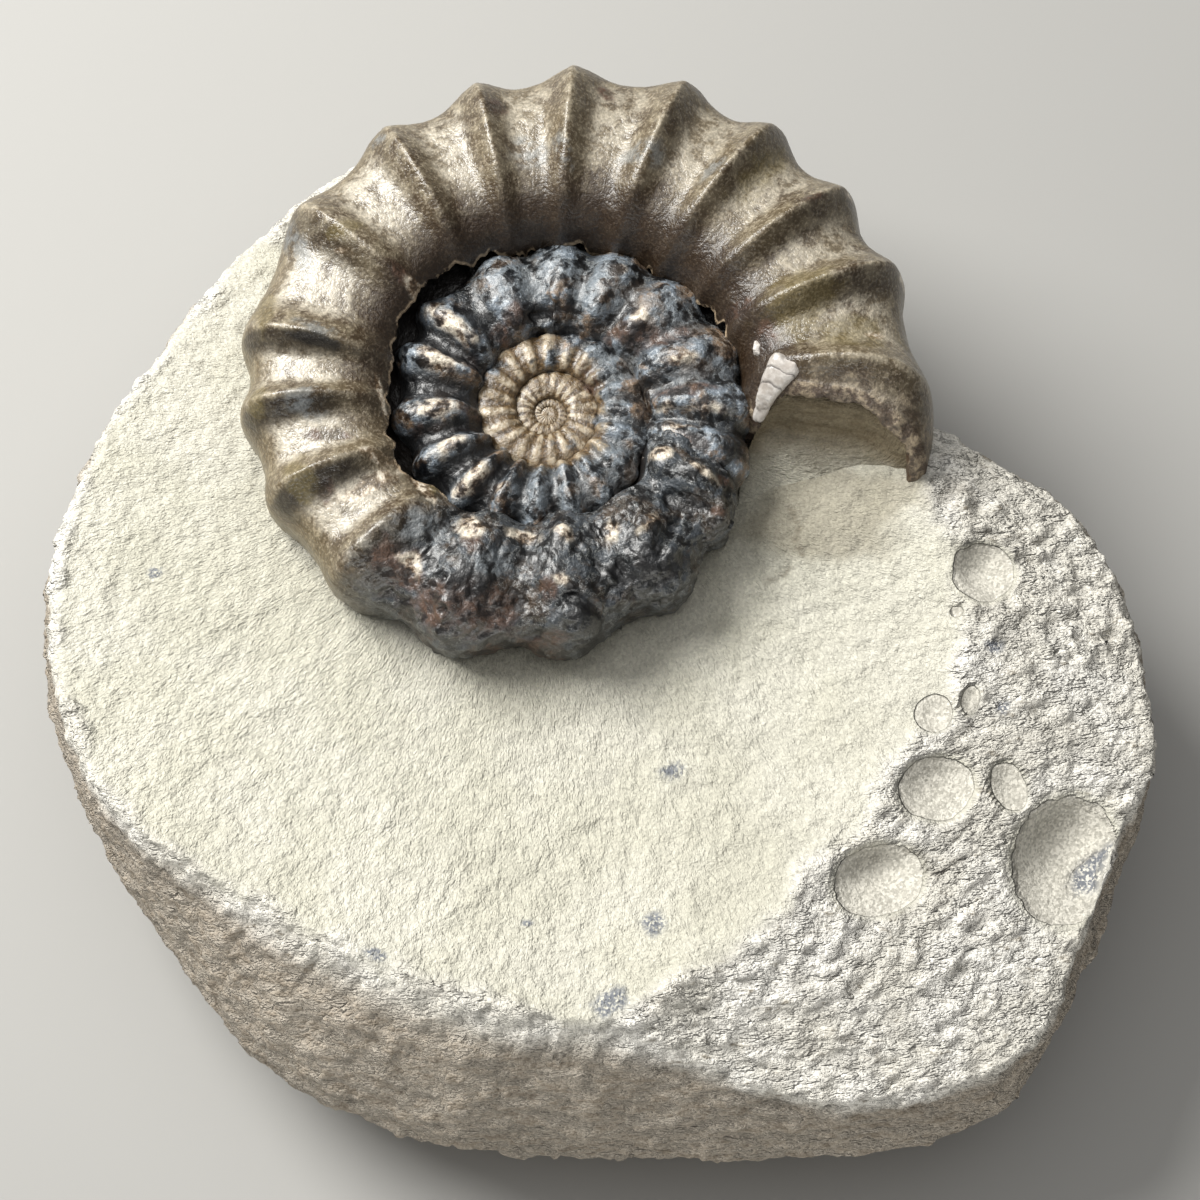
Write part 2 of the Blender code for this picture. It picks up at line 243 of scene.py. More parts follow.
def lay_stone_sheet():
    """A square sheet for the face, rows round it for the wall and underside, and the flat spot."""
    bm = bmesh.new()
    bmesh.ops.create_grid(bm, x_segments=FACE_CELLS, y_segments=FACE_CELLS, size=1.0)
    loop = [edge for edge in bm.edges if edge.is_boundary]
    for row in range(WALL_ROWS + UNDER_ROWS):
        made = bmesh.ops.extrude_edge_only(bm, edges=loop)["geom"]
        growth = (1 + (row + 1) * ROW_STEP) / (1 + row * ROW_STEP)
        bmesh.ops.scale(bm, vec=(growth, growth, 1), verts=verts_of(made))
        loop = edges_of(made)
    bmesh.ops.edgeloop_fill(bm, edges=loop)
    return bm


def wrap_stone(sheet):
    """Wraps the sheet round the stone. Returns places, rows and how far past the ridge each is."""
    u, v = sheet[:, 0], sheet[:, 1]
    share = np.maximum(abs(u), abs(v))
    level = abs(u) >= abs(v)
    ratio = np.divide(np.where(level, v, u), np.where(level, u, v), out=np.zeros_like(u),
                      where=share > 0)
    angle = np.where(level, 45 * ratio + np.where(u < 0, 180, 0),
                     90 - 45 * ratio + np.where(v < 0, 180, 0))
    edge, edge_height = around(FACE_EDGE, angle)
    ridge, ridge_height = around(RIDGE, angle)
    belly, belly_height = around(BELLY, angle)

    inside = np.minimum(share, 1)
    distance = edge * inside * (1 + FACE_SPREAD * (1 - inside))
    worn = distance / ridge
    dish = DISH_HEIGHT + (ridge_height - DISH_HEIGHT) * np.minimum(worn, 1) ** DISH_CURVE
    past = np.clip((distance - ridge) / (edge - ridge), 0, 1)
    height = np.where(worn < 1, dish, ridge_height + (edge_height - ridge_height) * past)

    row = np.maximum(share - 1, 0) / ROW_STEP
    up_wall = 1 - np.clip(row / WALL_ROWS, 0, 1)
    under = np.clip((row - WALL_ROWS) / UNDER_ROWS, 0, 1) * math.pi / 2
    wall = belly + (edge - belly) * up_wall ** WALL_CURVE
    wall_height = belly_height + (edge_height - belly_height) * up_wall
    below = FLAT_RADIUS + (belly - FLAT_RADIUS) * np.cos(under)
    below_height = belly_height * (1 - np.sin(under))
    distance = np.where(row > 0, np.where(row > WALL_ROWS, below, wall), distance)
    height = np.where(row > 0, np.where(row > WALL_ROWS, below_height, wall_height), height)

    turned = np.radians(angle)
    places = np.stack((STONE_MIDDLE[0] + distance * np.cos(turned),
                       STONE_MIDDLE[1] + distance * np.sin(turned), height), axis=1)
    return places, row, distance - ridge
def round_edge(bm, row, past_ridge):
    near_edge = (row < EDGE_ROWS) & (past_ridge > -EDGE_WIDTH)
    soft = [vert for vert, near in zip(bm.verts, near_edge.tolist()) if near]
    for _ in range(EDGE_ROUNDINGS):
        bmesh.ops.smooth_vert(bm, verts=soft, factor=0.5, use_axis_x=True, use_axis_y=True,
                              use_axis_z=True)


def stone_skin(places, crumbs, wander, broken, wall):
    """How high the skin stands: smooth in the dish, rough in the break and lumpy on the wall."""
    slanted = along(places, BREAK_GRAIN, 1.6)
    facets = chips(along(places, BREAK_GRAIN, 1.4), 3.4, seed=1)
    small_facets = chips(slanted, 1.1, seed=2)
    pitted = 1 + 0.7 * paint(places, PITTED, wander)
    rough = 0.16 * lumps(slanted, 5.0, octaves=3, seed=4) + 0.20 * facets
    rough += (0.30 * small_facets + 0.28 * crumbs) * pitted
    strong = 0.30 * lumps(places, 7.0, octaves=3, seed=5) + 0.25 * facets + 0.20 * small_facets
    strong += 0.30 * lumps(places * (0.5, 0.5, 1.4), 1.4, octaves=5, seed=14)
    smooth = 0.18 * lumps(places, 9.0, seed=2)
    smooth += 0.12 * lumps(along(places, DISH_GRAIN, 3.0), 2.2, seed=21)
    smooth += 0.07 * lumps(places, 1.1, octaves=3, seed=6)
    relief = smooth + (rough - smooth) * broken
    relief += (strong + 0.12 * crumbs - relief) * wall
    return relief


def sink_hollows(places, on_face):
    """How far each place is inside a hollow, from 0 to 1, and how deep the hollow is there."""
    hollow = np.zeros(len(places))
    depth = np.zeros(len(places))
    for x, y, length, width, turn, deep, lean in HOLLOWS:
        reach = ellipse_reach(places, x, y, length, width, turn)
        bowl = np.clip(1 - reach ** 2, 0, 1) * on_face
        upward = np.clip((places[:, 1] - y) / width, -1, 1)
        hollow = np.maximum(hollow, ease(1.25, 0.95, reach) * on_face)
        depth += deep * bowl ** HOLLOW_POWER * (1 + lean * upward)
    return hollow, depth


def open_cracks(places, crumbs, on_face):
    """How far each place is in a crack, from 0 to 1."""
    crack = np.zeros(len(places))
    for points in CRACKS:
        gap = line_distance(places, points) + 0.3 * abs(crumbs)
        crack = np.maximum(crack, ease(0.34, 0.10, gap) * on_face)
    return crack


def shape_stone():
    bm = lay_stone_sheet()
    places, row, past_ridge = wrap_stone(places_of(bm))
    move_to(bm, places)
    round_edge(bm, row, past_ridge)
    places = places_of(bm)
    normals = normals_of(bm)

    # How far each place is in the break, on the wall and above the flat spot.
    wander = lumps(places, 5.0, seed=1)
    wall = ease(1.0, 7.0, row)
    broken = np.maximum(ease(-1.2, 1.4, past_ridge + 1.6 * wander), wall)
    settled = ease(0.0, SETTLE_HEIGHT, places[:, 2])

    on_face = row == 0
    crumbs = lumps(along(places, BREAK_GRAIN, 1.6), 1.2, octaves=5, seed=3)
    relief = stone_skin(places, crumbs, wander, broken, wall)
    hollow, depth = sink_hollows(places, on_face)
    crack = open_cracks(places, crumbs, on_face)
    relief *= 1 - 0.97 * hollow
    relief -= depth
    relief -= CRACK_DEPTH * crack
    places = places + normals * (relief * settled)[:, None]
    move_to(bm, places)
    # The mark below the shell's mouth is painted shadow.
    marks = {"broken": broken * (1 - hollow), "wall": wall, "hollow": hollow,
             "spot": paint(places, SPOTS, crumbs) * on_face, "relief": relief, "crack": crack,
             "lining_and_shadow": 0.5 * paint(places, MOUTH_SHADOW, wander) * on_face}
    return bm, marks


class Ink:
    """A value in a material's node tree. Arithmetic on it adds Math nodes."""

    def __init__(self, tree, socket=None):
        self.tree = tree
        self.socket = socket

    def add(self, kind, settings=None, inputs=None, output=0):
        """Adds a node of this kind, with its settings and then its inputs, and returns an output."""
        node = self.tree.nodes.new(kind)
        for name, setting in (settings or {}).items():
            setattr(node, name, setting)
        for name, value in (inputs or {}).items():
            if isinstance(value, Ink):
                self.tree.links.new(value.socket, node.inputs[name])
            else:
                node.inputs[name].default_value = value
        return Ink(self.tree, node.outputs[output])

    def math(self, operation, *values):
        return self.add("ShaderNodeMath", {"operation": operation}, dict(enumerate(values)))

    def __add__(self, other):
        return self.math("ADD", self, other)

    __radd__ = __add__

    def __sub__(self, other):
        return self.math("SUBTRACT", self, other)

    def __rsub__(self, other):
        return self.math("SUBTRACT", other, self)

    def __mul__(self, other):
        return self.math("MULTIPLY", self, other)

    __rmul__ = __mul__

    def mark(self, name):
        return self.add("ShaderNodeAttribute", {"attribute_name": name}, output="Fac")

    def place(self):
        return self.add("ShaderNodeTexCoord", output="Object")

    def drawn_out(self, turn, stretch):
        """Object coordinates turned by these degrees round Z and stretched along X, Y and Z."""
        return self.add("ShaderNodeMapping", {}, {"Vector": self.place(), "Scale": stretch,
                                                  "Rotation": (0, 0, math.radians(turn))})

    def vector(self, operation, *values, output=0, scale=None):
        inputs = dict(enumerate(values))
        if scale is not None:
            inputs["Scale"] = scale
        return self.add("ShaderNodeVectorMath", {"operation": operation}, inputs, output)

    def outward(self, radius, shrink):
        """Object coordinates bent so that noise read there is drawn out away from the Z axis."""
        level = self.vector("MULTIPLY", self.place(), (1.0, 1.0, 0.0))
        ring = self.vector("SCALE", self.vector("NORMALIZE", level), scale=radius * MM)
        distance = self.vector("LENGTH", level, output=1)
        return self.vector("ADD", ring, self.vector("SCALE", (0.0, 0.0, shrink), scale=distance))

    def grain(self, size, detail=4.0, rough=0.55, where=None):
        """Noise from 0 to 1 with a grain of this size in millimetres."""
        return self.add("ShaderNodeTexNoise", {}, {"Vector": where or self.place(),
                        "Scale": 1 / (size * MM), "Detail": detail, "Roughness": rough})

    def sand(self, size):
        """Grains of this size in millimetres, each of its own brightness from 0 to 1."""
        return self.add("ShaderNodeTexVoronoi", {},
                        {"Vector": self.place(), "Scale": 1 / (size * MM)}, 1)

    def creased(self):
        """Folds noise over at its middle, which makes rounded crumbs with sharp creases between them."""
        return self.math("ABSOLUTE", self - 0.5)

    def reach(self, x, y, length, width, turn):
        """How far a place is from an ellipse's middle, seen from above. It is 1 on its outline."""
        inside = self.add("ShaderNodeMapping", {"vector_type": "TEXTURE"}, {
            "Vector": self.place(), "Location": (x * MM, y * MM, 0),
            "Rotation": (0, 0, math.radians(turn)), "Scale": (length * MM, width * MM, 1.0)})
        return self.vector("LENGTH", inside, output=1)

    def between(self, low, high):
        """Goes smoothly from 0 where this value is low to 1 where it is high."""
        return self.add("ShaderNodeMapRange", {"interpolation_type": "SMOOTHSTEP"},
                        {"Value": self, "From Min": low, "From Max": high})

    def tint(self, under, over):
        """Mixes two colours, and shows the second where this value is 1."""
        return self.add("ShaderNodeMix", {"data_type": "RGBA"}, {0: self, 6: under, 7: over}, 2)

    def scaled(self, colour):
        """Makes a colour brighter or darker by this value."""
        return self.vector("SCALE", colour, scale=self)


def rgb(red, green, blue):
    """A colour given as 0 to 255, as the shader wants it."""
    return (*((level / 255) ** 2.2 for level in (red, green, blue)), 1.0)


def start_material(name):
    material = bpy.data.materials.new(name)
    material.use_nodes = True
    tree = material.node_tree
    return material, Ink(tree), tree.nodes["Principled BSDF"]


def finish_shader(ink, shader, fixed, varying):
    for name, value in fixed.items():
        shader.inputs[name].default_value = value
    for name, value in varying.items():
        ink.tree.links.new(value.socket, shader.inputs[name])
def make_mudstone():
    material, ink, shader = start_material("mudstone")
    broken = ink.mark("broken")
    wall = ink.mark("wall")
    sugar = ink.sand(0.20)
    cloud = ink.grain(9.0, detail=3.0)
    strokes = ink.grain(0.30, detail=2.0, rough=0.8, where=ink.outward(32, 0.5))
    streak = ink.grain(1.1, detail=3.0, rough=0.8, where=ink.drawn_out(-28, (0.4, 1.0, 1.0)))
    patch = ink.grain(1.8, detail=1.0, rough=0.6)

    # The hollows have slightly uneven rims.
    wobble = 0.10 * streak + 0.22 * (patch - 0.5)
    sunk = 0.0
    for x, y, length, width, turn, deep, _ in HOLLOWS:
        reach = ink.reach(x, y, length, width, turn) + wobble
        sunk = sunk + deep * reach.between(1.08, 0.96)
    sunk = sunk * ink.mark("hollow")
    hollow = sunk.between(0.0, 0.25)

    worn = cloud.between(0.35, 0.65).tint(rgb(205, 202, 186), rgb(212, 209, 195))
    rough = cloud.between(0.40, 0.62).tint(rgb(226, 222, 211), rgb(243, 240, 232))
    rough = streak.between(0.42, 0.28).tint(rough, rgb(158, 151, 138))
    side = streak.between(0.34, 0.60).tint(rgb(154, 143, 128), rgb(206, 196, 181))
    bowl = sugar.between(0.2, 0.8).tint(rgb(200, 196, 184), rgb(224, 220, 208))
    # The brown below the shell's mouth. On the dish it is painted shadow. On the mouth fill it is partly
    # the fill's own brown and partly painted shadow towards its foot.
    lining_and_shadow_colour = streak.between(0.3, 0.7).tint(rgb(112, 101, 82), rgb(136, 126, 105))
    spotted = 0.9 * ink.mark("spot") * sugar.between(0.95, 0.40)
    colour = broken.tint(worn, rough)
    colour = wall.tint(colour, side)
    colour = hollow.tint(colour, bowl)
    colour = spotted.tint(colour, rgb(118, 123, 133))
    colour = (ink.mark("crack") * 0.6).tint(colour, rgb(128, 120, 106))
    colour = ink.mark("lining_and_shadow").tint(colour, lining_and_shadow_colour)
    # Painted shade: darker where the relief is low, in the hollows, cracks and creases, and lighter where
    # it stands high. The sugar grains vary the tone at random.
    shade = 0.66 + 0.34 * sugar + 0.16 * ink.mark("relief").between(-0.5, 0.5)
    colour = shade.scaled(colour)

    carved = (broken + 0.6 * wall) * (1 - hollow)
    fine = (0.42 - 0.25 * hollow) * strokes + carved * (1.3 * streak + 2.1 * streak.creased())
    fine = fine + (0.7 - 0.7 * hollow) * patch - 0.16 * sunk
    bump = ink.add("ShaderNodeBump", {}, {"Strength": 1.0, "Distance": 0.0009, "Height": fine})
    finish_shader(ink, shader, {"Roughness": 0.92, "Specular IOR Level": 0.25},
                  {"Base Color": colour, "Normal": bump})
    return material


mudstone = make_mudstone()
stone_bmesh, stone_marks = shape_stone()
make_piece("stone", stone_bmesh, mudstone, "matrix", stone_marks)

# The shell is one coil of lacquered fossil shell, brown and glossy, filled with stone. Its first
# turn back from the mouth has strong ribs with blunt tips, and its inner edge is broken off above
# the turn inside it, which leaves a dark groove. Past the groove the shell is knobbed and nearly black.
COIL_HEIGHT = 26.0
# How far the coil's rim is from its middle, by the angle back from the mouth, to the first chamber.
# The rim is FULL_RADIUS away at the mouth.
FULL_RADIUS = 33.0
COIL_RADIUS = (
    (-30, FULL_RADIUS), (0, FULL_RADIUS), (20, 32.7), (40, 32.5), (60, 32.4), (75, 32.0),
    (90, 31.3), (105, 30.3), (120, 29.4), (150, 27.9), (180, 26.3), (210, 24.6), (240, 22.8), (270, 21.2),
    (300, 19.9), (330, 18.7), (360, 17.9), (405, 16.6), (450, 15.4), (495, 14.4), (540, 13.3),
    (585, 12.0), (630, 10.8), (675, 9.8), (720, 8.95), (810, 7.5), (900, 6.3), (990, 5.35),
    (1080, 4.6), (1170, 4.0), (1260, 2.9), (1350, 2.1), (1440, 1.75), (1530, 1.5), (1620, 1.25),
    (1800, 0.9), (1980, 0.65), (2340, 0.4),
)
# How much of the next turn's rim a turn reaches in to, and half its width as a share of its radius.
TURN_OVERLAP = 0.97
HALF_WIDTH = 0.245
SECTION_POWER = 0.8
# The first turn's inner edge: an angle back from the mouth and a distance from the coil's middle.
LIP = (
    (-20, 16.9), (10, 16.7), (20, 17.0), (27, 16.9), (39, 16.3), (50, 15.8), (60, 15.6), (73, 15.3),
    (92, 15.1), (109, 14.8), (125, 14.8), (140, 15.0), (152, 14.7), (172, 14.0), (195, 14.1),
    (205, 14.2), (213, 13.6), (224, 12.9), (237, 12.1), (246, 11.8), (267, 10.8), (286, 10.6), (303, 11.1),
    (326, 10.6), (343, 9.7), (362, 9.2),
)
OUTER_RIBS = (-12, 5, 21, 36, 51.5, 67.5, 86, 102.5, 120, 141, 167, 182, 200.5, 222, 248, 276,
              305, 333, 361)
RIB_HEIGHT = 1.3
KEEL_HEIGHT = 0.22
NODE_HEIGHT = 0.25
SHELL_END = 346.0
SHELL_COLUMNS = 840
UNDER_LEANS = (-165, -130, -105)
VENTER_ROWS = 16
FLANK_ROWS = 78
ROWS_UNDER = len(UNDER_LEANS)
LIP_ROW = ROWS_UNDER + VENTER_ROWS + FLANK_ROWS
# Past the lip: how far out from it and how far down, for the torn edge and the wall below it.
EDGE_STEPS = ((0.02, 0.08), (0.10, 0.20), (0.35, 0.40), (0.8, 0.9), (1.3, 1.8), (1.4, 3.0))
# The groove's floor: how far out from the next turn's rim, and how high.
FLOOR_STEPS = ((-0.4, 25.6), (-2.2, 25.2), (-2.6, 23.0))
FLOOR_ROW = LIP_ROW + 1 + len(EDGE_STEPS)
LAST_ROW = FLOOR_ROW + len(FLOOR_STEPS)
# How far back the mouth's edge lies, by how far round the shell's section it is from the rim.
MOUTH_LINE = (
    (-170, -0.5), (-110, -1.0), (-60, -3.6), (-30, -5.7), (-10, -6.1), (5, -5.7), (20, -4.8),
    (38, -3.5), (55, -2.6), (65, -1.9), (80, -0.9), (92, -0.4), (108, 0.0), (122, 0.4), (130, 0.3),
    (150, -0.3), (180, -1.2),
)
MOUTH_REACH = 14.0
# The mouth's broken edge and the lining behind it: how far in, and how far back into the shell. The
# first of these steps are the edge, up to MOUTH_EDGE.
MOUTH_EDGE = 6
MOUTH_STEPS = ((0.0, 0.0), (0.2, -0.3), (0.4, -0.55), (0.65, -0.75), (0.9, -0.9), (1.1, -0.95),
               (1.2, -0.6), (1.25, 4.0))
# How far the shell's inner end runs on past its rim, where it steps down to the next turn.
SLANT_START = 305.0
END_SLANT = 10.0
# Knobs on the dark part of the shell: x, y, radius, height and the depth of the pit on top.
KNOBS = (
    (-8.7, -17.0, 1.1, 0.45, 0.5), (-8.7, -19.7, 1.1, 0.45, 0.5), (-3.8, -21.0, 1.2, 0.40, 0.3),
    (2.6, -14.3, 1.2, 0.35, 0.5), (5.2, -16.6, 0.7, 0.35, 0.0), (3.1, -20.5, 1.9, 0.55, 0.0),
    (1.3, -13.0, 1.0, 0.45, 0.0), (8.6, -12.0, 1.1, 0.50, 0.0), (9.8, -6.0, 1.6, 0.60, 0.0),
    (13.3, -7.0, 1.6, 0.45, 0.0), (6.6, -18.2, 1.5, 0.45, 0.0), (-0.4, -17.0, 1.2, 0.35, 0.0),
)
# Creases in the dark part.
CREASES = ((11.9, -9.8, 2.3, 0.7, -11), (3.1, -19.0, 1.7, 0.5, -14), (10.5, -13.0, 2.0, 0.7, 60))
# Where the shell's colours change. The blue ellipses at (-19.7, 5.1) and (-1.5, 22.0) and the cream one at
# (-15.5, -8.8) are painted sheen, and the black one at (-19.8, 4.1) is painted shade under a rib on the
# left.
OUTER_COLOURS = {
    "blue": ((1.3, 21.7, 2.1, 0.7, -66), (14.5, 19.9, 1.7, 0.8, 50), (-22.0, 13.3, 2.8, 0.9, -70),
             (-19.7, 5.1, 2.2, 0.6, -20), (-20.4, -1.4, 1.9, 1.2, 0), (-15.0, 23.7, 0.8, 0.5, 21),
             (28.6, 8.3, 0.9, 0.3, 45), (-10.7, -12.4, 2.5, 1.4, -5), (-4.8, -15.8, 2.1, 1.1, 20),
             (-1.5, 22.0, 1.4, 1.9, 90), (8.2, 21.3, 1.2, 2.2, 76)),
    "rust": ((-18.7, -4.1, 2.0, 0.5, -3), (-18.9, -9.4, 0.6, 0.9, 0), (-13.1, 10.9, 1.2, 0.7, -38),
             (-4.5, 26.4, 0.8, 1.0, -50), (5.2, 27.9, 1.2, 0.6, -50), (23.3, 16.9, 1.4, 0.4, 20),
             (-12.5, -15.8, 1.8, 2.4, 61), (-8.9, -19.0, 2.0, 2.5, 90), (-5.4, -19.5, 2.3, 2.9, 90),
             (0.4, -18.0, 0.8, 1.1, 0), (15.4, -7.5, 0.6, 0.8, 90), (14.6, -10.5, 0.7, 0.5, 0),
             (-0.8, -21.5, 2.5, 0.6, 0), (16.6, 7.6, 1.2, 0.8, 10), (18.9, 4.9, 1.0, 1.5, 0),
             (-6.4, -13.9, 0.7, 1.2, 61)),
    "cream": ((-11.4, 9.6, 1.3, 0.6, -48), (28.3, 4.6, 0.9, 0.35, 10), (-17.8, 12.5, 0.8, 0.2, -10),
              (-15.5, -8.8, 2.9, 0.7, 28), (-14.2, -0.8, 2.9, 0.25, -75), (-14.3, -6.2, 1.3, 0.5, -15),
              (-10.4, -8.8, 1.3, 0.5, -57), (-6.7, -12.4, 1.3, 1.2, 0), (-11.5, -15.5, 1.2, 0.8, -30),
              (26.6, 18.6, 0.4, 0.5, 0), (31.3, 11.2, 0.4, 0.7, 0), (1.4, -13.0, 0.8, 1.0, 41),
              (8.6, -12.1, 1.1, 0.5, 45), (9.8, -5.5, 1.0, 0.7, 0), (1.3, -17.3, 0.9, 0.5, -31),
              (-2.2, -12.8, 1.7, 0.6, -11), (13.3, -7.2, 1.7, 0.4, -31), (5.5, -12.5, 0.8, 1.2, 0)),
    "olive": ((-24.6, 7.3, 0.9, 2.2, -10), (-25.0, -1.0, 0.8, 1.5, 0), (-18.0, 14.2, 1.7, 0.7, 26),
              (-20.9, -8.4, 1.2, 2.2, 20), (-9.6, -8.4, 0.6, 0.8, 0), (21.9, 7.3, 3.4, 2.7, 21),
              (26.2, 4.8, 3.4, 1.8, 0), (18.7, 19.9, 3.5, 1.2, 50)),
    "black": ((8.8, -15.8, 3.1, 2.0, 21), (11.9, -9.8, 2.2, 0.6, -11), (3.1, -19.5, 1.5, 1.0, -16),
              (3.1, -20.5, 1.9, 1.1, -11), (-6.4, -17.4, 1.1, 1.7, 71), (-19.8, 4.1, 3.1, 0.5, -14)),
}

def coil_radius(angle):
    return curve_through(COIL_RADIUS, angle)[0]


def signed_power(value, power):
    return np.sign(value) * abs(value) ** power


def rib_side(angle, crests):
    """Where each angle is across its rib: 0 on the crest, and -1 and 1 in the valleys beside it."""
    count = np.interp(angle, crests, np.arange(len(crests)))
    return 2 * (count - np.round(count))


def sweep(columns, rows):
    """A sheet of quads, with each vertex's column and row."""
    bm = bmesh.new()
    bmesh.ops.create_grid(bm, x_segments=columns, y_segments=rows, size=1.0)
    sheet = places_of(bm)
    column = np.rint((sheet[:, 0] + 1) / 2 * columns).astype(int)
    row = np.rint((sheet[:, 1] + 1) / 2 * rows).astype(int)
    return bm, column, row


def close_tube(bm, marks):
    """Joins a tube's two long edges and closes its ends. The marks are kept in layers meanwhile."""
    for name, values in marks.items():
        layer = bm.verts.layers.float.new(name)
        for vert, value in zip(bm.verts, np.asarray(values, float).tolist()):
            vert[layer] = value
    bmesh.ops.remove_doubles(bm, verts=bm.verts, dist=0.0005)
    ends = [edge for edge in bm.edges if edge.is_boundary]
    bmesh.ops.holes_fill(bm, edges=ends, sides=0)
    bmesh.ops.recalc_face_normals(bm, faces=bm.faces)
def lay_outer_turn():
    """A sheet for the first turn, and where on the shell each of its places is."""
    mouth_columns = len(MOUTH_STEPS) - 1
    bm, column, row = sweep(SHELL_COLUMNS + mouth_columns, LAST_ROW)
    at = SimpleNamespace(column=column, row=row, back=column - mouth_columns)
    at.angle = SHELL_END * np.maximum(at.back, 0) / SHELL_COLUMNS
    at.outer = coil_radius(at.angle)
    at.inner = coil_radius(at.angle + 360) * TURN_OVERLAP
    at.middle = (at.outer + at.inner) / 2
    at.half = (at.outer - at.inner) / 2
    still = np.zeros_like(at.angle)
    jag = lumps(np.stack((at.angle * 0.25, still, still), axis=1), 1.6, octaves=3, seed=7)
    at.open_groove = ease(6.0, 20.0, at.angle) * ease(250.0, 222.0, at.angle)
    at.dark = ease(214.0, 236.0, at.angle + 3.0 * jag)

    # How far round the shell's section each place is from the rim, from under it and up to the lip.
    lip = curve_through(LIP, at.angle)[0] + 0.45 * jag * at.open_groove
    reach = np.clip((at.middle - lip) / at.half, 0.0, 0.999)
    lip_lean = 180 - np.degrees(np.arccos(reach ** (1 / SECTION_POWER)))
    under = np.array(UNDER_LEANS + (-90.0,))
    share_venter = (row - ROWS_UNDER) / VENTER_ROWS
    share_flank = (row - ROWS_UNDER - VENTER_ROWS) / FLANK_ROWS
    lean = np.where(row < ROWS_UNDER, under[np.clip(row, 0, ROWS_UNDER)],
                    np.where(share_flank <= 0, -90 + 90 * share_venter,
                             lip_lean * np.clip(share_flank, 0, 1)))
    at.lean = np.where(row == LAST_ROW, UNDER_LEANS[0], lean)
    at.turned = np.radians(at.lean)
    return bm, at


def raise_ribs(at):
    """How high the ribs stand: wide hollows between them, a thin keel on top and a blunt node."""
    at.side = rib_side(at.angle, OUTER_RIBS)
    at.crest = abs(at.side)
    wave = 0.5 + 0.5 * np.cos(math.pi * at.crest)
    sharp = ease(30.0, 70.0, at.lean) * (1 - at.dark)
    profile = wave ** (1.25 + 1.1 * sharp - 0.3 * at.dark)
    fade = 1 - 0.78 * ease(80.0, 140.0, at.lean) * (1 - 0.35 * at.dark)
    fade = np.where(at.row < ROWS_UNDER, 0.5, fade)
    size = at.outer / FULL_RADIUS
    rib = RIB_HEIGHT * (profile - 0.27) * fade * size * (1 + 0.6 * sharp + 0.8 * at.dark)
    at.keel = np.exp(-(at.crest / 0.10) ** 2) * ease(25.0, 45.0, at.lean) * ease(112.0, 75.0, at.lean)
    rib += KEEL_HEIGHT * at.keel * (1 - at.dark)
    node = np.exp(-((at.lean - 38.0) / 20.0) ** 2) * np.exp(-(at.crest / 0.32) ** 2)
    rib += NODE_HEIGHT * size * node
    return rib


def turn_lip_under(radius, up, at):
    """Makes the rows past the lip the groove's wall and floor."""
    flank_end = at.row == LIP_ROW
    columns = at.column.max() + 1
    lip_up = np.zeros(columns)
    lip_radius = np.zeros(columns)
    lip_up[at.column[flank_end]] = up[flank_end]
    lip_radius[at.column[flank_end]] = radius[flank_end]
    next_turn = coil_radius(at.angle + 360)
    for step, (out, down) in enumerate(EDGE_STEPS):
        here = at.row == LIP_ROW + 1 + step
        wall = at.open_groove * out + (1 - at.open_groove) * (-0.25 * down)
        radius = np.where(here, lip_radius[at.column] + wall, radius)
        up = np.where(here, lip_up[at.column] - down, up)
    for step, (out, level) in enumerate(FLOOR_STEPS):
        here = at.row == FLOOR_ROW + step
        radius = np.where(here, np.minimum(next_turn + out, lip_radius[at.column]), radius)
        up = np.where(here, level - COIL_HEIGHT, up)
    return radius, up


def draw_in_mouth(radius, up, at):
    """Draws the mouth's broken edge in. Returns how far along the shell its steps lie, too."""
    length = np.hypot(radius - at.middle, up)
    foot = ease(85.0, 30.0, at.lean) * ease(-30.0, 10.0, at.lean) - 0.5 * ease(0.0, -45.0, at.lean)
    still = np.zeros_like(at.lean)
    ragged = lumps(np.stack((at.lean * 0.06, still, still), axis=1), 0.5, octaves=4, seed=31)
    inset = np.zeros(len(at.angle))
    pushed = np.zeros(len(at.angle))
    for step, (draw_in, push) in enumerate(MOUTH_STEPS):
        inset = np.where(at.back == -step, draw_in, inset)
        pushed = np.where(at.back == -step, push, pushed)
    inset *= 0.8 + 0.5 * foot + 0.4 * ragged
    shrink = np.clip(1 - inset / np.maximum(length, 1e-6), 0, 1)
    return at.middle + (radius - at.middle) * shrink, up * shrink, pushed


def outer_skin(places, at, ragged):
    """How high the skin stands: nearly smooth where it is brown, wrinkled and knobbed where dark."""
    dark = at.dark
    fine = lumps(places, 0.6, octaves=3, seed=15)
    worn = lumps(places, 3.2, octaves=4, seed=8)
    wrinkles = 0.16 * chips(places, 1.7, seed=22) + 0.07 * chips(places, 0.8, seed=23)
    relief = (0.09 * worn + 0.015 * fine) * (1 - dark)
    relief += dark * (0.20 * ragged + 0.50 * lumps(places, 4.4, seed=10) + 1.2 * wrinkles + 0.04 * fine)
    on_dark = dark * ease(0.0, 30.0, at.lean)
    for x, y, wide, high, pit in KNOBS:
        reach = ellipse_reach(places, x, y, wide, wide, 0)
        relief += on_dark * high * np.clip(1 - reach ** 2, 0, 1) ** 1.5
        relief -= on_dark * pit * 1.8 * np.clip(1 - (reach / 0.6) ** 2, 0, 1) ** 1.5
    relief -= 0.45 * on_dark * paint(places, CREASES, ragged)
    relief *= (at.row >= ROWS_UNDER) & (at.row <= LIP_ROW) & (at.back >= 0)
    on_edge = (at.back <= 0) & (at.back > -MOUTH_EDGE) & (at.row >= ROWS_UNDER)
    relief += 0.16 * (ragged + fine) * on_edge
    return relief


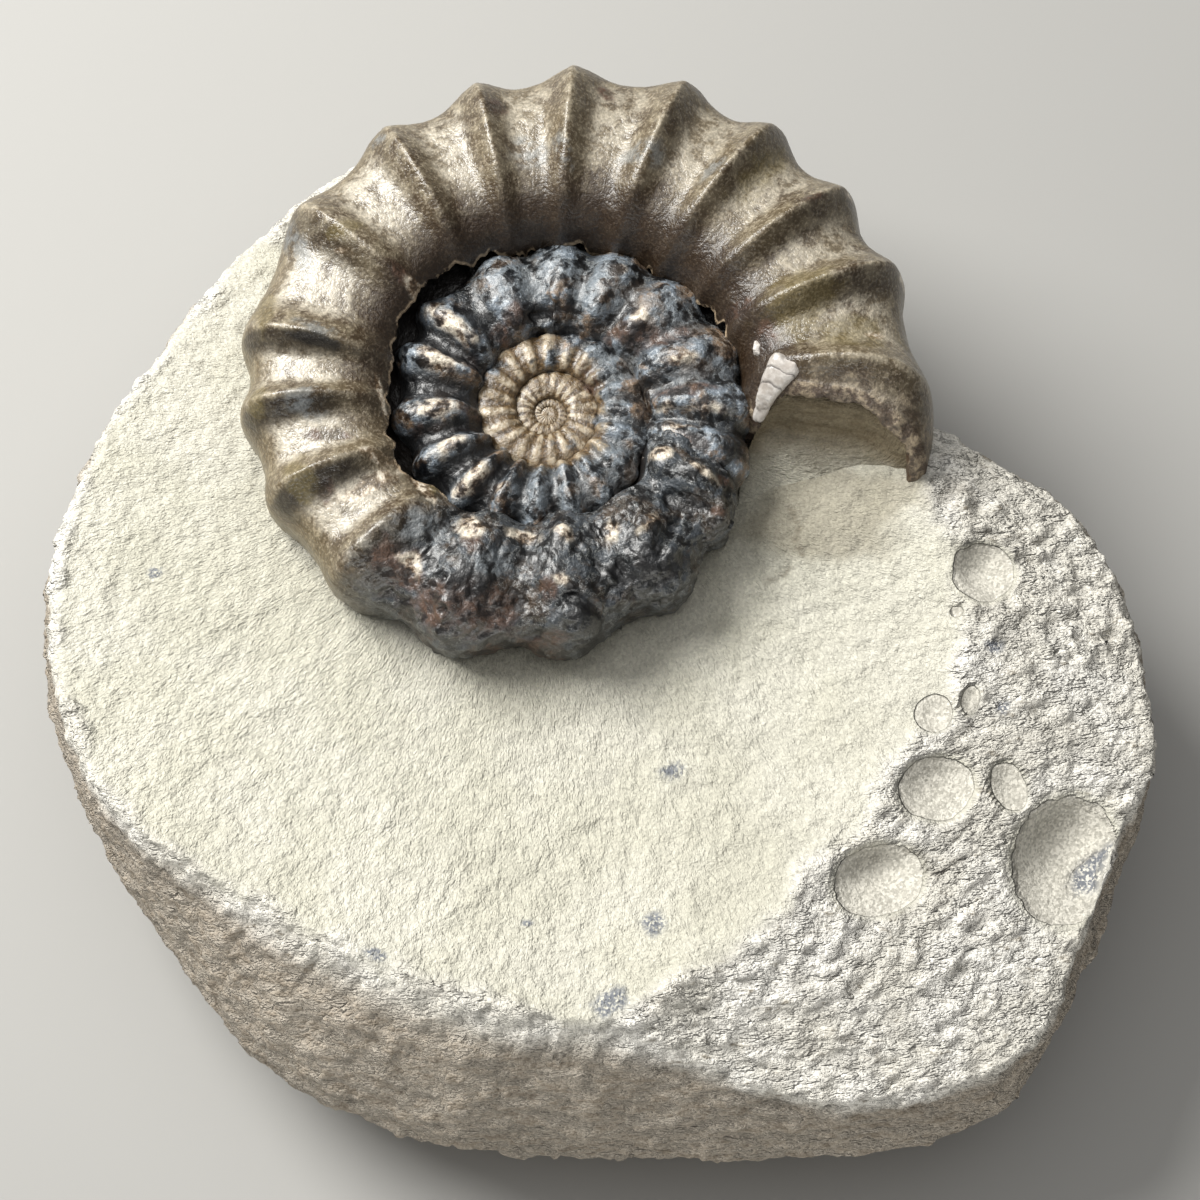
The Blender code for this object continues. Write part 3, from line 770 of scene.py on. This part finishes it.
def mark_outer_turn(places, at, ragged):
    """Where on the shell each of its colours is."""
    brown = 1 - at.dark
    marks = {name: paint(places, ellipses, ragged) * (at.row > ROWS_UNDER)
             for name, ellipses in OUTER_COLOURS.items()}
    marks["dark"] = at.dark
    on_lip = (at.row > LIP_ROW - 2) & (at.row < LIP_ROW + 2) & (at.back > 0)
    marks["edge"] = on_lip * at.open_groove
    # The groove's wall and floor are nearly black: partly the shell's own dark brown and partly painted
    # shade.
    marks["groove"] = ease(LIP_ROW + 1, LIP_ROW + 5, at.row)
    broken_edge = (at.back <= 0) * ease(-MOUTH_EDGE, 1 - MOUTH_EDGE, at.back)
    stained = 0.5 * ease(9, 1, at.back + 6 * ragged)
    marks["mouth"] = np.maximum(broken_edge, stained) * (at.back > -MOUTH_EDGE)
    marks["lining_and_shadow"] = (at.back <= -MOUTH_EDGE) * 1.0
    marks["crest"] = at.keel * brown
    on_ribs = ease(5.0, 30.0, at.lean) * ease(112.0, 88.0, at.lean) * brown
    # Painted shade: the flank of each rib that faces away from the softbox is darkened, most on the left
    # of the turn.
    away = -np.cos(np.radians(at.angle - 24.0))
    flank = at.side * np.sign(away)
    marks["painted_rib_shade"] = ease(0.03, 0.16, flank) * ease(0.80, 0.35, flank) * on_ribs
    marks["painted_rib_shade"] *= abs(away) * np.where(away > 0, 1.0, 0.4)
    # Painted sheen: the middle of each valley between the ribs is made paler, more so on the left of the
    # turn.
    marks["painted_valley_sheen"] = ease(0.3, 0.65, at.crest) * on_ribs * ease(35.0, 55.0, at.lean)
    marks["painted_valley_sheen"] *= 0.8 + 0.6 * ease(80.0, 140.0, at.angle)
    marks["inner"] = ease(92.0, 130.0, at.lean) * brown
    marks["inner"] *= 0.45 + 0.55 * ease(200.0, 150.0, at.angle)
    marks["rim"] = ease(60.0, 20.0, abs(at.lean)) * (at.row <= LIP_ROW)
    marks["sweep"] = np.radians(at.angle) * at.outer
    marks["rise"] = at.turned * at.half
    return marks


def shape_outer_turn():
    bm, at = lay_outer_turn()
    rib = raise_ribs(at)
    sine, cosine = np.sin(at.turned), np.cos(at.turned)
    radius = at.middle + at.half * signed_power(cosine, SECTION_POWER) + rib * cosine
    up = HALF_WIDTH * at.outer * signed_power(sine, SECTION_POWER) + rib * sine
    radius, up = turn_lip_under(radius, up, at)
    radius, up, pushed = draw_in_mouth(radius, up, at)

    slant = np.clip((radius - at.inner) / at.half / 2, 0, 1) * ease(SLANT_START, SHELL_END, at.angle)
    spiral = np.radians(at.angle - END_SLANT * slant)
    mouth_edge = curve_through(MOUTH_LINE, np.clip(at.lean, -170, 180))[0]
    y = radius * np.sin(spiral)
    y += mouth_edge * (1 - at.angle / MOUTH_REACH).clip(0, 1) + pushed
    places = np.stack((radius * np.cos(spiral), y, COIL_HEIGHT + up), axis=1)
    move_to(bm, places)
    normals = normals_of(bm)
    ragged = lumps(places, 1.5, octaves=4, seed=9)
    places = places + normals * outer_skin(places, at, ragged)[:, None]
    move_to(bm, places)
    return bm, mark_outer_turn(places, at, ragged)


def brown_shell(ink, mottle, speck, crest):
    """The first turn's brown. Its paler valleys are painted sheen, its paler keels are partly wear and
    partly painted highlight, and one flank of each rib has painted shade.
    """
    inner = ink.mark("inner")
    cloud = ink.grain(5.0, detail=3.0, rough=0.6)
    brown = cloud.between(0.38, 0.62).tint(rgb(76, 63, 46), rgb(102, 90, 70))
    brown = mottle.between(0.42, 0.66).tint(brown, rgb(132, 121, 100))
    # Painted sheen: the valleys are made paler.
    valley_sheen = ink.mark("painted_valley_sheen") * (0.15 + 0.60 * mottle.between(0.38, 0.56))
    brown = valley_sheen.tint(brown, rgb(184, 176, 160))
    brown = (inner * 0.95).tint(brown, rgb(46, 32, 17))
    brown = ((0.30 - 0.26 * inner) * speck.between(0.52, 0.66)).tint(brown, rgb(178, 168, 150))
    brown = (ink.mark("rim") * 0.35).tint(brown, rgb(118, 102, 68))
    # The keels are paler, partly from wear and partly as painted highlight.
    brown = (crest * (0.35 * mottle.between(0.40, 0.56))).tint(brown, rgb(190, 180, 160))
    # Painted shade on the flank of each rib that faces away from the softbox.
    return (ink.mark("painted_rib_shade") * 0.85).tint(brown, rgb(30, 24, 18))


def black_shell(ink, mottle, speck, crest):
    """The nearly black turns, which have brown wisps and fine pale cracks. Their bright grey specks are
    painted glints, and their ribs are painted lighter on the crests and darker between them, as painted
    highlight and shade.
    """
    wisp = ink.grain(3.2, detail=4.0, rough=0.65)
    # Painted glints: bright grey specks.
    lights = 0.35 * speck.between(0.56, 0.68) * mottle.between(0.38, 0.55)
    rusty = mottle.between(0.36, 0.62).tint(rgb(38, 27, 18), rgb(120, 96, 70))
    black = mottle.between(0.40, 0.62).tint(rgb(13, 16, 20), rgb(112, 121, 130))
    black = lights.tint(black, rgb(186, 190, 190))
    black = (wisp.between(0.50, 0.62) * 0.85).tint(black, rusty)
    # Painted highlight and shade: lighter on the rib crests, darker between them.
    black = (0.30 + 1.0 * crest.between(0.0, 0.7)).scaled(black)
    return (0.4 * mottle.creased().between(0.014, 0.0)).tint(black, rgb(176, 178, 174))


def beige_shell(mottle, speck, crest):
    """The beige ribs in the middle of the coil."""
    beige = crest.between(0.15, 0.75).tint(rgb(72, 55, 32), rgb(192, 178, 154))
    beige = (speck.between(0.42, 0.58) * 0.55).tint(beige, rgb(118, 96, 66))
    return (mottle.between(0.44, 0.56) * 0.7).tint(beige, rgb(92, 74, 48))


def stain_shell(ink, colour, mottle, mouth):
    """Lays the colours that lie in patches over the shell's own."""
    patchy = mottle.between(0.40, 0.56)
    rust = mottle.between(0.35, 0.65).tint(rgb(34, 22, 17), rgb(88, 65, 51))
    cream = mottle.between(0.44, 0.60).tint(rgb(128, 102, 74), rgb(220, 209, 190))
    torn = mottle.between(0.45, 0.62).tint(rgb(68, 53, 40), rgb(154, 138, 115))
    colour = (ink.mark("olive") * 0.5).tint(colour, rgb(116, 104, 68))
    colour = (ink.mark("blue") * 0.55 * patchy).tint(colour, rgb(118, 124, 128))
    colour = (ink.mark("rust") * (0.45 + 0.45 * patchy)).tint(colour, rust)
    colour = (ink.mark("black") * 0.85).tint(colour, rgb(16, 16, 18))
    colour = (ink.mark("cream") * (0.10 + 0.85 * patchy)).tint(colour, cream)
    # The groove under the lip is nearly black, partly the shell's own dark brown and partly painted shade.
    colour = (ink.mark("groove") * 0.95).tint(colour, rgb(20, 15, 13))
    colour = (mouth * 0.85).tint(colour, torn)
    colour = ink.mark("lining_and_shadow").tint(colour, rgb(70, 52, 38))
    return (ink.mark("edge") * mottle.between(0.42, 0.53)).tint(colour, rgb(172, 152, 126))


def make_shell_material():
    material, ink, shader = start_material("lacquered shell")
    dark = ink.mark("dark")
    mouth = ink.mark("mouth")
    crest = ink.mark("crest")
    mottle = ink.grain(1.3, detail=4.0, rough=0.62)
    speck = ink.grain(0.30, detail=1.5, rough=0.7)
    # Growth lines run across the shell, so this grain is read along its sweep and round its section.
    sweep_place = ink.add("ShaderNodeCombineXYZ", {}, {"X": ink.mark("sweep") * MM,
                                                       "Y": ink.mark("rise") * (0.12 * MM)})
    growth = ink.grain(0.5, detail=2.0, rough=0.6, where=sweep_place)

    colour = dark.tint(brown_shell(ink, mottle, speck, crest), black_shell(ink, mottle, speck, crest))
    colour = ink.mark("beige").tint(colour, beige_shell(mottle, speck, crest))
    colour = stain_shell(ink, colour, mottle, mouth)
    shade = 0.78 + 0.40 * speck.between(0.35, 0.68)
    colour = shade.scaled(colour)

    gloss = 0.22 + 0.26 * mottle + 0.10 * dark + 0.30 * mouth + 0.08 * ink.mark("inner")
    height = 0.40 * speck + (0.7 + 0.45 * dark + 1.2 * mouth) * mottle + 0.12 * growth
    height = height + 0.8 * dark * mottle.creased()
    bump = ink.add("ShaderNodeBump", {}, {"Strength": 1.0, "Distance": 0.00022, "Height": height})
    finish_shader(ink, shader, {"Coat Roughness": 0.25, "Specular IOR Level": 0.6, "IOR": 1.6},
                  {"Base Color": colour, "Roughness": gloss, "Normal": bump,
                   "Coat Weight": 0.3 * dark - 0.3 * mouth})
    return material


shell_material = make_shell_material()
shell_bmesh, shell_marks = shape_outer_turn()
close_tube(shell_bmesh, shell_marks)
make_piece("outer_turn", shell_bmesh, shell_material, "ammonite")

# The inner turns of the same coil lie lower, down to the first chamber in the middle. Their ribs get
# smaller with them. They are nearly black near the mouth and beige towards the middle.
COIL_START = 330.0
COIL_END = 1980.0
ANGLE_STEP = 0.25
INNER_RIBS = (323, 345, 358.5, 378.7, 402.7, 423.8, 446.3, 468.7, 500, 518, 545.5, 567, 588)
INNER_RIB_STEP = 18.5
COIL_ROWS = 72
COIL_OVERLAP = 0.93
HIDDEN_LEANS = (200.0, 230.0, -60.0)
# How far the coil's start is sunk below the shell's inner end, and a dent in the first of its turns.
START_DEPTH = 0.45
DENT = (-0.3, 8.4, 1.6, 1.1, 0)
# How high the inner ribs are, as a share of the coil's radius there, by angle back from the mouth.
INNER_RIB_HEIGHT = ((330, 0.06), (460, 0.06), (500, 0.11), (600, 0.10), (660, 0.07), (720, 0.045),
                    (860, 0.028), (1000, 0.015), (1100, 0.008), (1200, 0.0), (2400, 0.0))
INNER_COLOURS = {
    "beige": ((-0.6, 0.1, 4.7, 4.6, 0), (-2.0, 5.8, 3.1, 1.6, 16), (-4.3, -0.3, 2.7, 4.1, 0),
              (-0.6, -4.3, 3.9, 1.2, 0), (2.4, 2.5, 2.2, 2.7, 0), (3.8, -3.0, 1.4, 1.8, 0)),
    "blue": ((-2.0, 11.8, 4.5, 2.2, 5), (4.5, 10.5, 4.0, 2.4, -20), (10.5, 7.5, 2.5, 3.6, 30),
             (12.5, 2.6, 3.2, 1.6, 10), (1.0, -8.0, 4.6, 2.0, 5), (6.0, -5.5, 2.0, 3.0, 30),
             (-10.8, 3.4, 0.9, 0.8, 0), (-10.8, -0.4, 0.9, 0.8, 0), (-8.2, -4.1, 1.2, 0.7, 36),
             (5.5, 4.5, 2.4, 1.6, -50), (5.6, 0.2, 1.3, 2.8, 0)),
    "rust": ((-8.7, -2.3, 2.7, 0.4, 2), (-11.0, -2.4, 0.6, 0.5, 0), (-6.7, 3.6, 0.8, 0.8, 0),
             (-4.8, -7.8, 1.5, 0.5, 11), (8.3, 6.0, 3.6, 1.0, -13), (11.7, 6.3, 0.7, 0.9, 61),
             (-4.1, 6.6, 0.9, 1.0, 61), (-6.6, -2.0, 0.7, 0.5, 0), (12.0, 0.7, 2.5, 0.6, 5),
             (11.9, -4.1, 1.7, 0.8, -11), (3.6, 2.6, 0.7, 1.5, 40), (-6.7, -0.8, 0.7, 0.9, 61),
             (-5.7, -6.9, 1.2, 0.4, 31), (-2.9, 8.0, 1.4, 0.9, 61)),
    "cream": ((-5.9, 9.1, 0.8, 0.4, -30), (-8.1, 6.6, 1.7, 0.7, -25), (-9.9, 4.0, 1.3, 0.7, 0),
              (-7.5, 1.2, 0.8, 0.6, 0), (-9.7, -0.6, 2.3, 0.9, 5), (-6.4, -7.1, 2.2, 0.9, 48),
              (-9.6, 3.9, 2.4, 1.0, -22), (-8.6, 7.2, 2.5, 1.0, -40), (-8.5, -4.2, 1.8, 0.7, 27),
              (-4.0, -7.9, 0.7, 0.4, 31), (6.2, 12.0, 0.8, 0.6, 0), (8.0, 7.6, 0.8, 0.9, 0),
              (11.6, 3.5, 2.0, 0.5, 8), (12.5, -1.8, 2.8, 1.0, 5), (4.1, 4.3, 0.4, 0.4, 0),
              (10.4, -1.1, 0.7, 0.9, 0), (8.8, -4.4, 1.0, 0.6, -20)),
    "black": ((-0.3, 8.4, 1.5, 1.1, 0), (-10.7, 1.5, 2.2, 0.7, 0), (-6.7, 7.6, 0.7, 2.1, 45),
              (-6.4, 4.6, 0.5, 1.7, -20), (-8.4, -5.6, 1.6, 0.5, 31), (-3.3, -7.6, 0.8, 0.4, 31),
              (16.5, -3.7, 1.4, 2.2, -30), (9.0, 2.1, 2.2, 0.5, 11), (1.1, 7.3, 2.5, 0.4, 0),
              (-10.3, 10.6, 1.2, 2.3, 40), (-11.4, 5.6, 0.8, 0.5, -20)),
}
def lay_inner_turns():
    """A sheet for the inner turns, and where on the coil each of its places is."""
    # Columns lie further apart in angle towards the middle, where the coil is small.
    steps = np.arange(COIL_START, COIL_END, ANGLE_STEP)
    density = 1 / (0.78 * 2 ** (0.6 * np.maximum(steps - 360, 0) / 360))
    count = np.concatenate(([0.0], np.cumsum(density[:-1] * ANGLE_STEP)))
    rows = COIL_ROWS + len(HIDDEN_LEANS) + 1
    bm, column, row = sweep(int(count[-1]), rows)
    at = SimpleNamespace(row=row, angle=np.interp(column, count, steps))
    at.under = (row > COIL_ROWS) & (row < rows)
    at.outer = coil_radius(at.angle)
    inner = coil_radius(at.angle + 360) * COIL_OVERLAP
    inner = np.where(at.angle > COIL_END - 360, 0.0, inner)
    at.middle = (at.outer + inner) / 2
    at.half = (at.outer - inner) / 2
    lean = np.where(row <= COIL_ROWS, -30 + 215 * row / COIL_ROWS, 0.0)
    for step, value in enumerate(HIDDEN_LEANS):
        lean = np.where(row == COIL_ROWS + 1 + step, value, lean)
    at.lean = np.where(row == rows, -30, lean)
    at.turned = np.radians(at.lean)
    at.apart = ease(470.0, 500.0, at.angle)
    at.inmost = ease(620.0, 700.0, at.angle)
    return bm, at


def mark_inner_turns(places, at, radius, ragged):
    """Where on the inner turns each of their colours is."""
    marks = {name: paint(places, ellipses, ragged) for name, ellipses in INNER_COLOURS.items()}
    marks["beige"] *= ease(560.0, 640.0, at.angle) + at.apart * ease(6.0, 5.0, radius)
    marks["beige"] = np.clip(marks["beige"], 0, 1)
    marks["cream"] *= ease(0.3, 0.7, at.hump)
    # Painted shade: the valleys between the ribs of the second turn are made black.
    between_ribs = (1 - at.hump) * at.apart * ease(640.0, 600.0, at.angle)
    marks["black"] = np.maximum(marks["black"], ease(0.3, 0.8, between_ribs))
    marks["dark"] = np.ones(len(places))
    marks["groove"] = np.maximum(at.row > COIL_ROWS, 0.8 * at.inmost * ease(158.0, 178.0, at.lean))
    marks["crest"] = at.hump * at.strength
    marks["sweep"] = np.radians(at.angle) * at.outer
    marks["rise"] = at.turned * at.half
    return marks


def shape_inner_turns():
    bm, at = lay_inner_turns()
    sine, cosine = np.sin(at.turned), np.cos(at.turned)
    crests = list(INNER_RIBS)
    while crests[-1] < COIL_END + 40:
        crests.append(crests[-1] + INNER_RIB_STEP)

    # The ribs are broad knobs near the mouth, and stand apart from each other past the hollow.
    hump = 0.5 + 0.5 * np.cos(math.pi * rib_side(at.angle, crests))
    at.hump = hump ** (0.8 + 0.3 * at.apart)
    at.strength = ease(-50.0, 30.0, at.lean) * ease(185.0, 115.0, at.lean)
    high = at.outer * np.interp(at.angle, *zip(*INNER_RIB_HEIGHT))
    rib = high * (at.hump - 0.4) * at.strength - START_DEPTH * ease(372.0, 350.0, at.angle)
    radius = at.middle + at.half * signed_power(cosine, 0.9) + rib * cosine
    up = HALF_WIDTH * at.outer * signed_power(sine, 0.9 - 0.3 * at.inmost) + rib * sine
    up = np.where(at.under, -HALF_WIDTH * at.outer * 0.8, up)
    spiral = np.radians(at.angle)
    places = np.stack((radius * np.cos(spiral), radius * np.sin(spiral), COIL_HEIGHT + up), axis=1)
    move_to(bm, places)
    normals = normals_of(bm)

    size = at.outer / 18
    ragged = lumps(places, 1.2, octaves=4, seed=11)
    relief = 0.16 * ragged + 0.26 * lumps(places, 2.8, seed=12) + 0.12 * chips(places, 1.5, seed=24)
    relief = relief * size + 0.07 * lumps(places, 0.7, octaves=3, seed=16) * size ** 0.3
    relief -= 0.5 * paint(places, (DENT,), ragged)
    relief *= ease(-30, 0, at.lean) * (at.row <= COIL_ROWS)
    places = places + normals * relief[:, None]
    move_to(bm, places)
    return bm, mark_inner_turns(places, at, radius, ragged)


coil_bmesh, coil_marks = shape_inner_turns()
close_tube(coil_bmesh, coil_marks)
make_piece("inner_turns", coil_bmesh, shell_material, "ammonite")

# White calcite fills the shell beside the mouth, where its wall is broken away. It grew there in
# blocks, with a dark seam between one block and the next, and a small chip of it lies above.
CALCITE_COLUMNS = 80
CALCITE_ROWS = 48
CALCITE_SEAMS = (0.34, 0.56)
SEAM_WIDTH = 0.016
SEAM_DEPTH = 0.10
# Each middle line: a share along it, x, y, height, half width and half thickness.
CALCITE_LINE = ((0.0, 20.8, 2.2, 33.6, 1.35, 0.7), (0.25, 20.3, 1.4, 33.5, 1.4, 0.8),
                (0.5, 19.4, 0.3, 32.5, 1.05, 0.75), (0.75, 18.8, -0.6, 31.1, 0.75, 0.7),
                (1.0, 18.3, -1.7, 28.9, 0.5, 0.5))
CALCITE_CHIP = ((0.0, 18.1, 4.7, 31.5, 0.2, 0.2), (0.5, 18.2, 4.0, 31.6, 0.35, 0.4),
                (1.0, 18.3, 3.2, 31.4, 0.2, 0.2))


def shape_calcite(line, seams, seed):
    bm, column, row = sweep(CALCITE_COLUMNS, CALCITE_ROWS)
    share = column / CALCITE_COLUMNS
    x, y, z, width, thick = curve_through(line, share)
    blunt = np.sqrt(np.clip(1 - (2 * share - 1) ** 14, 0, 1))
    turned = 2 * math.pi * row / CALCITE_ROWS
    ahead = np.array(line[-1][1:3]) - np.array(line[0][1:3])
    ahead = ahead / np.hypot(*ahead)
    across = signed_power(np.cos(turned), 0.6) * width * blunt
    places = np.stack((x - ahead[1] * across, y + ahead[0] * across,
                       z + signed_power(np.sin(turned), 0.8) * thick * blunt), axis=1)
    seam = np.zeros(len(share))
    for place in seams:
        gap = (share + 0.04 * np.cos(turned) - place) / SEAM_WIDTH
        seam = np.maximum(seam, np.exp(-gap ** 2))
    places += lumps(places, 1.1, octaves=4, seed=seed)[:, None] * 0.2
    places[:, 2] -= SEAM_DEPTH * seam
    move_to(bm, places)
    return bm, {"seam": seam}


def make_calcite_material():
    material, ink, shader = start_material("white calcite")
    mottle = ink.grain(0.8, detail=5.0, rough=0.65)
    colour = mottle.between(0.35, 0.65).tint(rgb(172, 164, 156), rgb(206, 201, 195))
    colour = (ink.mark("seam") * 0.8).tint(colour, rgb(70, 64, 62))
    bump = ink.add("ShaderNodeBump", {}, {"Strength": 1.0, "Distance": 0.0001, "Height": mottle})
    finish_shader(ink, shader, {"Roughness": 0.35, "Coat Weight": 0.4, "Coat Roughness": 0.15},
                  {"Base Color": colour, "Normal": bump})
    return material


calcite_material = make_calcite_material()
for name, line, seams, seed in (("calcite", CALCITE_LINE, CALCITE_SEAMS, 17),
                                ("calcite_chip", CALCITE_CHIP, (), 18)):
    calcite_bmesh, calcite_marks = shape_calcite(line, seams, seed)
    close_tube(calcite_bmesh, calcite_marks)
    make_piece(name, calcite_bmesh, calcite_material, "ammonite")

# Stone fills the mouth inside the shell's wall. It is smooth and brown there, and slopes down hollow
# to the dish.
FILL_COLUMNS = 130
FILL_ROWS = 120
FILL_FOOT = 18.0
FILL_INSET = 1.2
# Where round the mouth the fill starts, and how far round it goes.
FILL_START = -30
FILL_SPAN = 208
# From the shell's wall down to the dish: a step, how far back from the mouth's edge it is, and its
# height as a share of the shell's.
FILL_STEPS = ((0, 3.0, 1.0), (1, -0.5, 0.92), (2, -1.3, 0.68), (3, -2.4, 0.40), (4, -4.8, 0.15),
              (5, -8.8, -0.02))


def shape_mouth_fill():
    bm, column, row = sweep(FILL_COLUMNS, FILL_ROWS)
    around_mouth = FILL_START + FILL_SPAN * column / FILL_COLUMNS
    lean = np.radians(around_mouth)
    outer = coil_radius(np.zeros(1))[0]
    inner = coil_radius(np.full(1, 360.0))[0] * TURN_OVERLAP
    middle = (outer + inner) / 2
    sine, cosine = np.sin(lean), np.cos(lean)
    up = HALF_WIDTH * outer * signed_power(sine, SECTION_POWER) - FILL_INSET * sine
    radius = middle + (outer - inner) / 2 * signed_power(cosine, SECTION_POWER)
    radius -= FILL_INSET * cosine
    ahead, share = curve_through(FILL_STEPS, row / FILL_ROWS * FILL_STEPS[-1][0])
    radius += (radius - middle) * 0.3 * (1 - share)
    y = curve_through(MOUTH_LINE, around_mouth)[0] + ahead
    z = DISH_HEIGHT + (COIL_HEIGHT + up - DISH_HEIGHT) * share
    places = np.stack((radius, y, z), axis=1)
    # The fill's brown fades out towards the dish. Its lower part is painted shadow under the mouth's arch.
    lining_and_shadow = ease(-0.02, 0.55, share + 0.05 * lumps(places, 2.0, seed=19))
    bands = lumps(places * (0.12, 0.5, 1.0), 0.8, octaves=3, seed=20)
    places[:, 2] += 0.10 * lumps(places, 3.0, seed=13)
    places[:, 1] += 0.10 * bands * lining_and_shadow
    move_to(bm, places)
    marks = {"lining_and_shadow": lining_and_shadow, "relief": bands * lining_and_shadow}

    # Its sides go straight down into the stone, where they are closed.
    rim = [edge for edge in bm.edges if edge.is_boundary]
    sides = bmesh.ops.extrude_edge_only(bm, edges=rim)["geom"]
    for vert in verts_of(sides):
        vert.co.z = FILL_FOOT
    bmesh.ops.edgeloop_fill(bm, edges=edges_of(sides))
    bmesh.ops.recalc_face_normals(bm, faces=bm.faces)
    hidden = np.zeros(len(bm.verts) - len(places))
    return bm, {name: np.append(values, hidden) for name, values in marks.items()}


fill_bmesh, fill_marks = shape_mouth_fill()
make_piece("mouth_fill", fill_bmesh, mudstone, "matrix", fill_marks)

# The fossil rests on a plain pale table, under a large soft lamp on its left, a wide one overhead and
# a low one in front. The camera looks down on it from its lower side.
TABLE_HALF_SIZE = 1.5
TABLE_GREY = (168, 167, 164)
SKY_LEVEL = 0.12
# Each lamp: its place and size in metres, its power in watts and its colour.
LAMPS = {
    "softbox": ((-0.26, 0.16, 0.34), (0.30, 0.24), 3.4, (1.0, 0.99, 0.96)),
    "overhead": ((0.0, 0.05, 0.72), (0.90, 0.90), 2.1, (1.0, 0.99, 0.97)),
    "front fill": ((0.0, -0.45, 0.03), (0.50, 0.06), 0.6, (1.0, 0.99, 0.96)),
}
LAMP_TARGET = Vector((0, -0.01, 0.025))
CAMERA_TARGET = Vector((4.577, -16.96, 25.5)) * MM
CAMERA_DISTANCE = 270 * MM
CAMERA_TILT = math.radians(18)
CAMERA_LENS = 93.64
CAMERA_SENSOR = 36.0
CAMERA_NEAR = 0.01


def add_camera():
    data = bpy.data.cameras.new("camera")
    data.lens = CAMERA_LENS
    data.sensor_width = CAMERA_SENSOR
    data.clip_start = CAMERA_NEAR
    camera = bpy.data.objects.new("camera", data)
    back = Vector((0, -math.sin(CAMERA_TILT), math.cos(CAMERA_TILT)))
    camera.location = CAMERA_TARGET + CAMERA_DISTANCE * back
    camera.rotation_euler = (CAMERA_TILT, 0, 0)
    bpy.context.scene.collection.objects.link(camera)
    bpy.context.scene.camera = camera


def add_lamp(name, place, size, power, colour):
    data = bpy.data.lights.new(name, "AREA")
    data.shape = "ELLIPSE"
    data.size, data.size_y = size
    data.energy = power
    data.color = colour
    lamp = bpy.data.objects.new(name, data)
    lamp.location = place
    aim = LAMP_TARGET - Vector(place)
    lamp.rotation_euler = aim.to_track_quat("-Z", "Y").to_euler()
    bpy.context.scene.collection.objects.link(lamp)


def add_table():
    bm = bmesh.new()
    bmesh.ops.create_grid(bm, x_segments=1, y_segments=1, size=TABLE_HALF_SIZE)
    mesh = bpy.data.meshes.new("table")
    bm.to_mesh(mesh)
    bm.free()
    material, ink, shader = start_material("pale table")
    finish_shader(ink, shader, {"Base Color": rgb(*TABLE_GREY), "Roughness": 0.8}, {})
    mesh.materials.append(material)
    table = bpy.data.objects.new("table", mesh)
    bpy.context.scene.collection.objects.link(table)


def add_sky():
    world = bpy.data.worlds.new("studio")
    world.use_nodes = True
    background = world.node_tree.nodes["Background"]
    background.inputs["Color"].default_value = (SKY_LEVEL, SKY_LEVEL, SKY_LEVEL, 1)
    bpy.context.scene.world = world


add_camera()
add_table()
for name, lamp in LAMPS.items():
    add_lamp(name, *lamp)
add_sky()
bpy.context.scene.view_settings.view_transform = "Standard"
